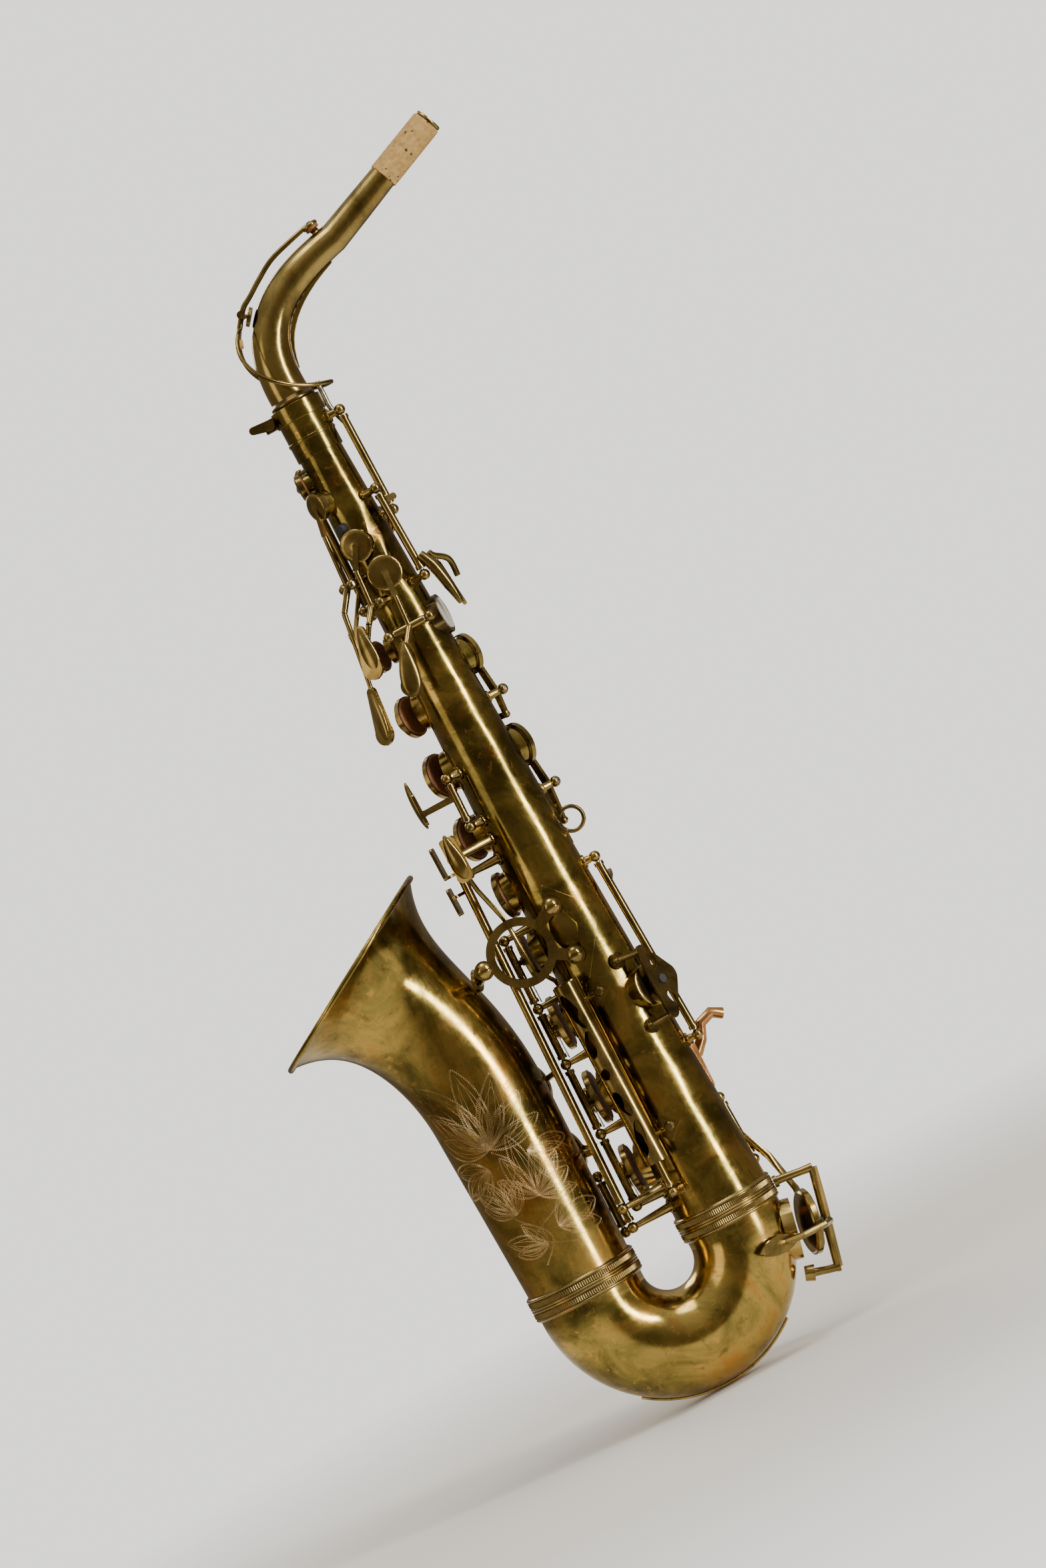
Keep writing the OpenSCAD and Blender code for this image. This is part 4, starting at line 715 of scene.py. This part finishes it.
for node in padded_keys:
    clad(node, key_brass, 0.0002, pad_leather)
for node in ("b_key", "a_key", "g_key", "gsharp_lever", "side_c_lever", "side_bb_lever", "low_c_lever",
             "csharp_lever"):
    clad(node, key_brass, 0.0002)
for node in ("b_pad", "a_pad", "g_pad"):
    clad(node, pad_leather, 0.0003)

# Palm key touches: domed, drop-shaped plates that the palm presses, brazed to their levers.


def touch_leaf(name, body, start, end, width, outward):
    """A domed drop that widens from start to end, over the frame's flat plate."""
    p, q = at(*start), at(*end)
    bpy.ops.object.select_all(action="DESELECT")
    bpy.ops.mesh.primitive_uv_sphere_add(segments=40, ring_count=24, radius=1)
    piece = bpy.context.object
    piece.name = piece.data.name = name
    x = (q - p).normalized()
    z = (Vector(outward) - x * Vector(outward).dot(x)).normalized()
    y = z.cross(x)
    length = (q - p).length * 1000 + width / 4 + 0.8
    for v in piece.data.vertices:
        a, b, c = v.co
        t = (a + 1) / 2
        wide = (width / 2 + 0.45) * (0.48 + 0.62 * t) if t < 0.8 else (width / 2 + 0.45) * 0.976
        flat = 1.25 if c < 0 else 2.6
        local = Vector((-width / 4 - 0.4 + length * t, b * wide, c * flat)) / 1000
        v.co = p + x * local.x + y * local.y + z * local.z
    piece.data.polygons.foreach_set("use_smooth", [True] * len(piece.data.polygons))
    return fitted(piece, body, "key_brass", key_brass)


def out_at(turn):
    a = math.radians(turn)
    return (math.cos(a), math.sin(a), 0)


touch_leaf("palm_d_touch", "palm_d", (-10, -31.5, 344), (-17.5, -34, 318), 12.5, out_at(265))
touch_leaf("palm_eb_touch", "palm_eb", (-27, -24, 363), (-30, -27, 336), 12.5, out_at(236))
touch_leaf("palm_f_touch", "palm_f", (-37, -15, 331), (-42.5, -18, 302), 12.5, out_at(208))

touch_leaf("csharp_touch", "csharp_lever", (-39.2, -34.6, 242), (-39.2, -34.6, 219), 10.5, (-0.5, -0.87, 0))
touch_leaf("gsharp_touch", "gsharp_lever", (-44.4, -17, 276), (-44.8, -17, 252), 14.5, (-1, 0, 0))

# Guards: sheet brass guards over the rod and the trill key, with leaf-shaped cutouts.
shield = drawn_tube("rod_shield", [(-20.4, 35.5, 0, 6.9), (-20.4, 40, 0, 6.9), (-20.2, 90, 0, 6.9),
                                   (-20, 139, 0, 6.9),
                                   (-20, 143.6, 0, 6.9)], 96)
for v in shield.data.vertices:
    v.co.y -= 0.0302
half = turned("half", [(12, -6), (12, 120)], at(-8.6, -22.8, 32), (0, 0, 1), 48)
applied(shield, "SOLIDIFY", thickness=0.0008, offset=-1)
applied(shield, "BOOLEAN", operation="DIFFERENCE", object=half, solver="EXACT")
bpy.data.objects.remove(half)
for z, length, width, lean in ((51, 11, 2.9, 12), (72, 8, 2.7, -12), (90, 3.3, 3.3, 0), (108, 8, 2.7, 12),
                               (128, 11, 2.9, -12)):
    bpy.ops.object.select_all(action="DESELECT")
    bpy.ops.mesh.primitive_uv_sphere_add(segments=32, ring_count=20, radius=0.001,
                                         location=at(-22.5, -36, z),
                                         rotation=(0, math.radians(lean), 0), scale=(width, 8, length))
    cutter = bpy.context.object
    applied(shield, "BOOLEAN", operation="DIFFERENCE", object=cutter, solver="EXACT")
    bpy.data.objects.remove(cutter)
fitted(shield, "horn", "key_brass", key_brass)
eased(shield, 0.0002, 40)
clad("rod_guard", key_brass, 0.0002)
clad("trill_guard", dark_brass, 0.0003)
clad("guard_screws", dark_brass, 0.0002)
clad("brace_ring", key_brass, 0.0005)
clad("brace_mounts", key_brass, 0.0003)
body_len = 460
mount_plate = bpy.data.meshes.new("mount_plate")
corners = [Vector(p) for p in ((-5.3, 196.2), (16.5, 171), (-6, 139.5), (-20.5, 168))]
spots, tiles, steps_across = [], [], 20
for i in range(steps_across + 1):
    for j in range(steps_across + 1):
        u, v = i / steps_across, j / steps_across
        p = corners[0] * (1 - u) * (1 - v) + corners[1] * u * (1 - v) + corners[2] * u * v + corners[3] * (1 - u) * v
        wall = tube_small - (tube_small - 12.5) * p.y / body_len + 0.1
        spots.append(at(p.x, -math.sqrt(wall * wall - p.x * p.x), p.y))
        if i and j:
            n = i * (steps_across + 1) + j
            tiles.append((n, n - 1, n - steps_across - 2, n - steps_across - 1))
mount_plate.from_pydata(spots, [], tiles)
mount_plate = bpy.data.objects.new("mount_plate", mount_plate)
bpy.context.scene.collection.objects.link(mount_plate)
applied(mount_plate, "SOLIDIFY", thickness=0.0006, offset=1)
if min((v.co - at(0, 0, (v.co.z * 1000 + 220))).length for v in mount_plate.data.vertices) < 0.0205:
    mount_plate.data.flip_normals()
fitted(mount_plate, "horn", "body_brass", body_brass)
eased(mount_plate, 0.0002, 50)
clad("brace_screws", key_brass, 0.0001)
rubber, rubber_tree, rubber_shader, rubber_place = new_material("rubber", 0.0, Roughness=0.62)
wires(rubber_tree, (ramp(rubber_tree, noise(rubber_tree, rubber_place, 300), [(0.3, (0.012,) * 3), (0.7,
                                                                                                    (0.03,) * 3)]),
                    rubber_shader.inputs["Base Color"]))
clad("bumpers", rubber, 0.0004)
clad("low_c_guard", key_brass, 0.0002)
rail = smooth_wire("low_c_rail", [(51.9, 0, -9.1), (47.8, 0, -27), (43.4, 0, -45), (38.9, 0, -63.6)],
                   [2.5, 2.7, 2.7, 2.5], 16)
rail_top = smooth_wire("rail_top", [(51.9, 0, -9.1), (45, 0, -8.3), (38, 0, -7.3), (31, 0, -6.5)],
                       [2.5, 2.2, 2.2, 2.4], 16)
rail_end = smooth_wire("rail_end", [(38.9, 0, -63.6), (34.5, 0, -62.8), (30, 0, -61.5), (25.4, 0, -60.2)],
                       [2.5, 2.2, 2.2, 2.4], 16)
fitted(merged("low_c_rails", rail, rail_top, rail_end), "horn", "key_brass", key_brass)

# Thumb hook, thumb rest and strap ring: a cast hook on a plate, reddish where the lacquerless
# brass is handled, a round rest with a shell disc, and the ring that the strap clips to.
copper_tone = aged_brass("copper_tone", [
    (0.30, (0.16, 0.066, 0.024)), (0.48, (0.34, 0.155, 0.055)), (0.64, (0.50, 0.26, 0.10)), (0.8,
                                                                                             (0.55, 0.34, 0.12))],
    patch=34, rough=(0.14, 0.27), lift=0.1, grime=0.2, fine=3, edge=0.4)
clad("thumb_hook", copper_tone, 0.0003)
clad("thumb_rest", dark_brass, 0.0003)
clad("thumb_rest_pearl", pearl, 0.0003)
clad("strap_ring", dark_brass, 0.0001)

# Studio: a pale floor that fades out towards its rim, a warm soft room that only the metal
# sees, a plain pale backdrop, four large lamps and the camera.
low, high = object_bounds()
bpy.ops.object.select_all(action="DESELECT")
bpy.ops.mesh.primitive_circle_add(vertices=96, radius=2.2, fill_type="NGON",
                                  location=(-0.06, 0, low.z - 0.0005))
floor = bpy.context.object
floor.name = "floor"
bpy.ops.object.transform_apply(location=True)
pale, pale_tree, pale_shader, pale_place = new_material("pale_floor", 0.0, Roughness=0.8)
pale_shader.inputs["Base Color"].default_value = (0.78, 0.76, 0.72, 1)
reach = pale_tree.nodes.new("ShaderNodeVectorMath")
reach.operation = "LENGTH"
wires(pale_tree, (pale_place, reach.inputs[0]),
      (ramp(pale_tree, reach.outputs["Value"], [(0.45, (1, 1, 1)), (1.0, (0, 0, 0))]),
       pale_shader.inputs["Alpha"]))
floor.data.materials.append(pale)
world = bpy.data.worlds.new("studio")
bpy.context.scene.world = world
world.use_nodes = True
sky = world.node_tree
room = sky.nodes["Background"]
heading = sky.nodes.new("ShaderNodeTexCoord").outputs["Generated"]
part = sky.nodes.new("ShaderNodeSeparateXYZ")
wires(sky, (heading, part.inputs[0]))
height = math_node(sky, "ADD", math_node(sky, "MULTIPLY", part.outputs["Z"], 0.5), 0.5)
wires(sky, (ramp(sky, height, [(0.0, (0.42, 0.38, 0.33)), (0.42, (0.16, 0.125, 0.085)),
                               (0.62, (0.24, 0.20, 0.15)),
                               (0.85, (0.62, 0.58, 0.52)), (1.0, (0.8, 0.78, 0.74))]), room.inputs[0]))
paper = sky.nodes.new("ShaderNodeBackground")
paper.inputs[0].default_value = (0.93, 0.91, 0.88, 1)
paper.inputs[1].default_value = 1.7
seen = sky.nodes.new("ShaderNodeMixShader")
wires(sky, (sky.nodes.new("ShaderNodeLightPath").outputs["Is Camera Ray"], seen.inputs[0]),
      (room.outputs[0], seen.inputs[1]),
      (paper.outputs[0], seen.inputs[2]), (seen.outputs[0], sky.nodes["World Output"].inputs[0]))


def soft_light(name, place, aim, size, power, tint=(1, 1, 1)):
    lamp = bpy.data.lights.new(name, "AREA")
    lamp.shape, lamp.size, lamp.size_y, lamp.energy, lamp.color = "RECTANGLE", size[0], size[1], power, tint
    holder = bpy.data.objects.new(name, lamp)
    holder.location = place
    holder.rotation_mode = "QUATERNION"
    holder.rotation_quaternion = (Vector(aim) - Vector(place)).to_track_quat("-Z", "Y")
    bpy.context.scene.collection.objects.link(holder)


soft_light("key_light", (1.5, -1.35, 0.35), (0, 0, 0.05), (0.3, 2.0), 52, (1, 0.99, 0.97))
soft_light("left_light", (-1.9, -1.1, 0.6), (0, 0, 0), (0.9, 1.6), 7, (1, 0.90, 0.75))
soft_light("back_light", (-0.9, 1.9, 1.2), (0, 0, 0), (0.9, 0.9), 16, (1, 0.92, 0.8))
soft_light("top_light", (0.1, -0.5, 2.4), (0, 0, 0), (1.2, 1.2), 26)

reach_to = 3.0
view_height = 0.8537
lens_data = bpy.data.cameras.new("camera")
lens_data.sensor_width = 36
lens_data.lens = 36 * reach_to / view_height
camera = bpy.data.objects.new("camera", lens_data)
bpy.context.scene.collection.objects.link(camera)
across, upward, toward = Vector((0.881, 0, -0.473)), Vector((0.473, 0, 0.881)), Vector((0, -1, 0))
camera.matrix_world = Matrix.Translation(Vector((-0.0143, -reach_to, 0.029))) @ Matrix(
    (across, upward, toward)).transposed().to_4x4()
bpy.context.scene.camera = camera
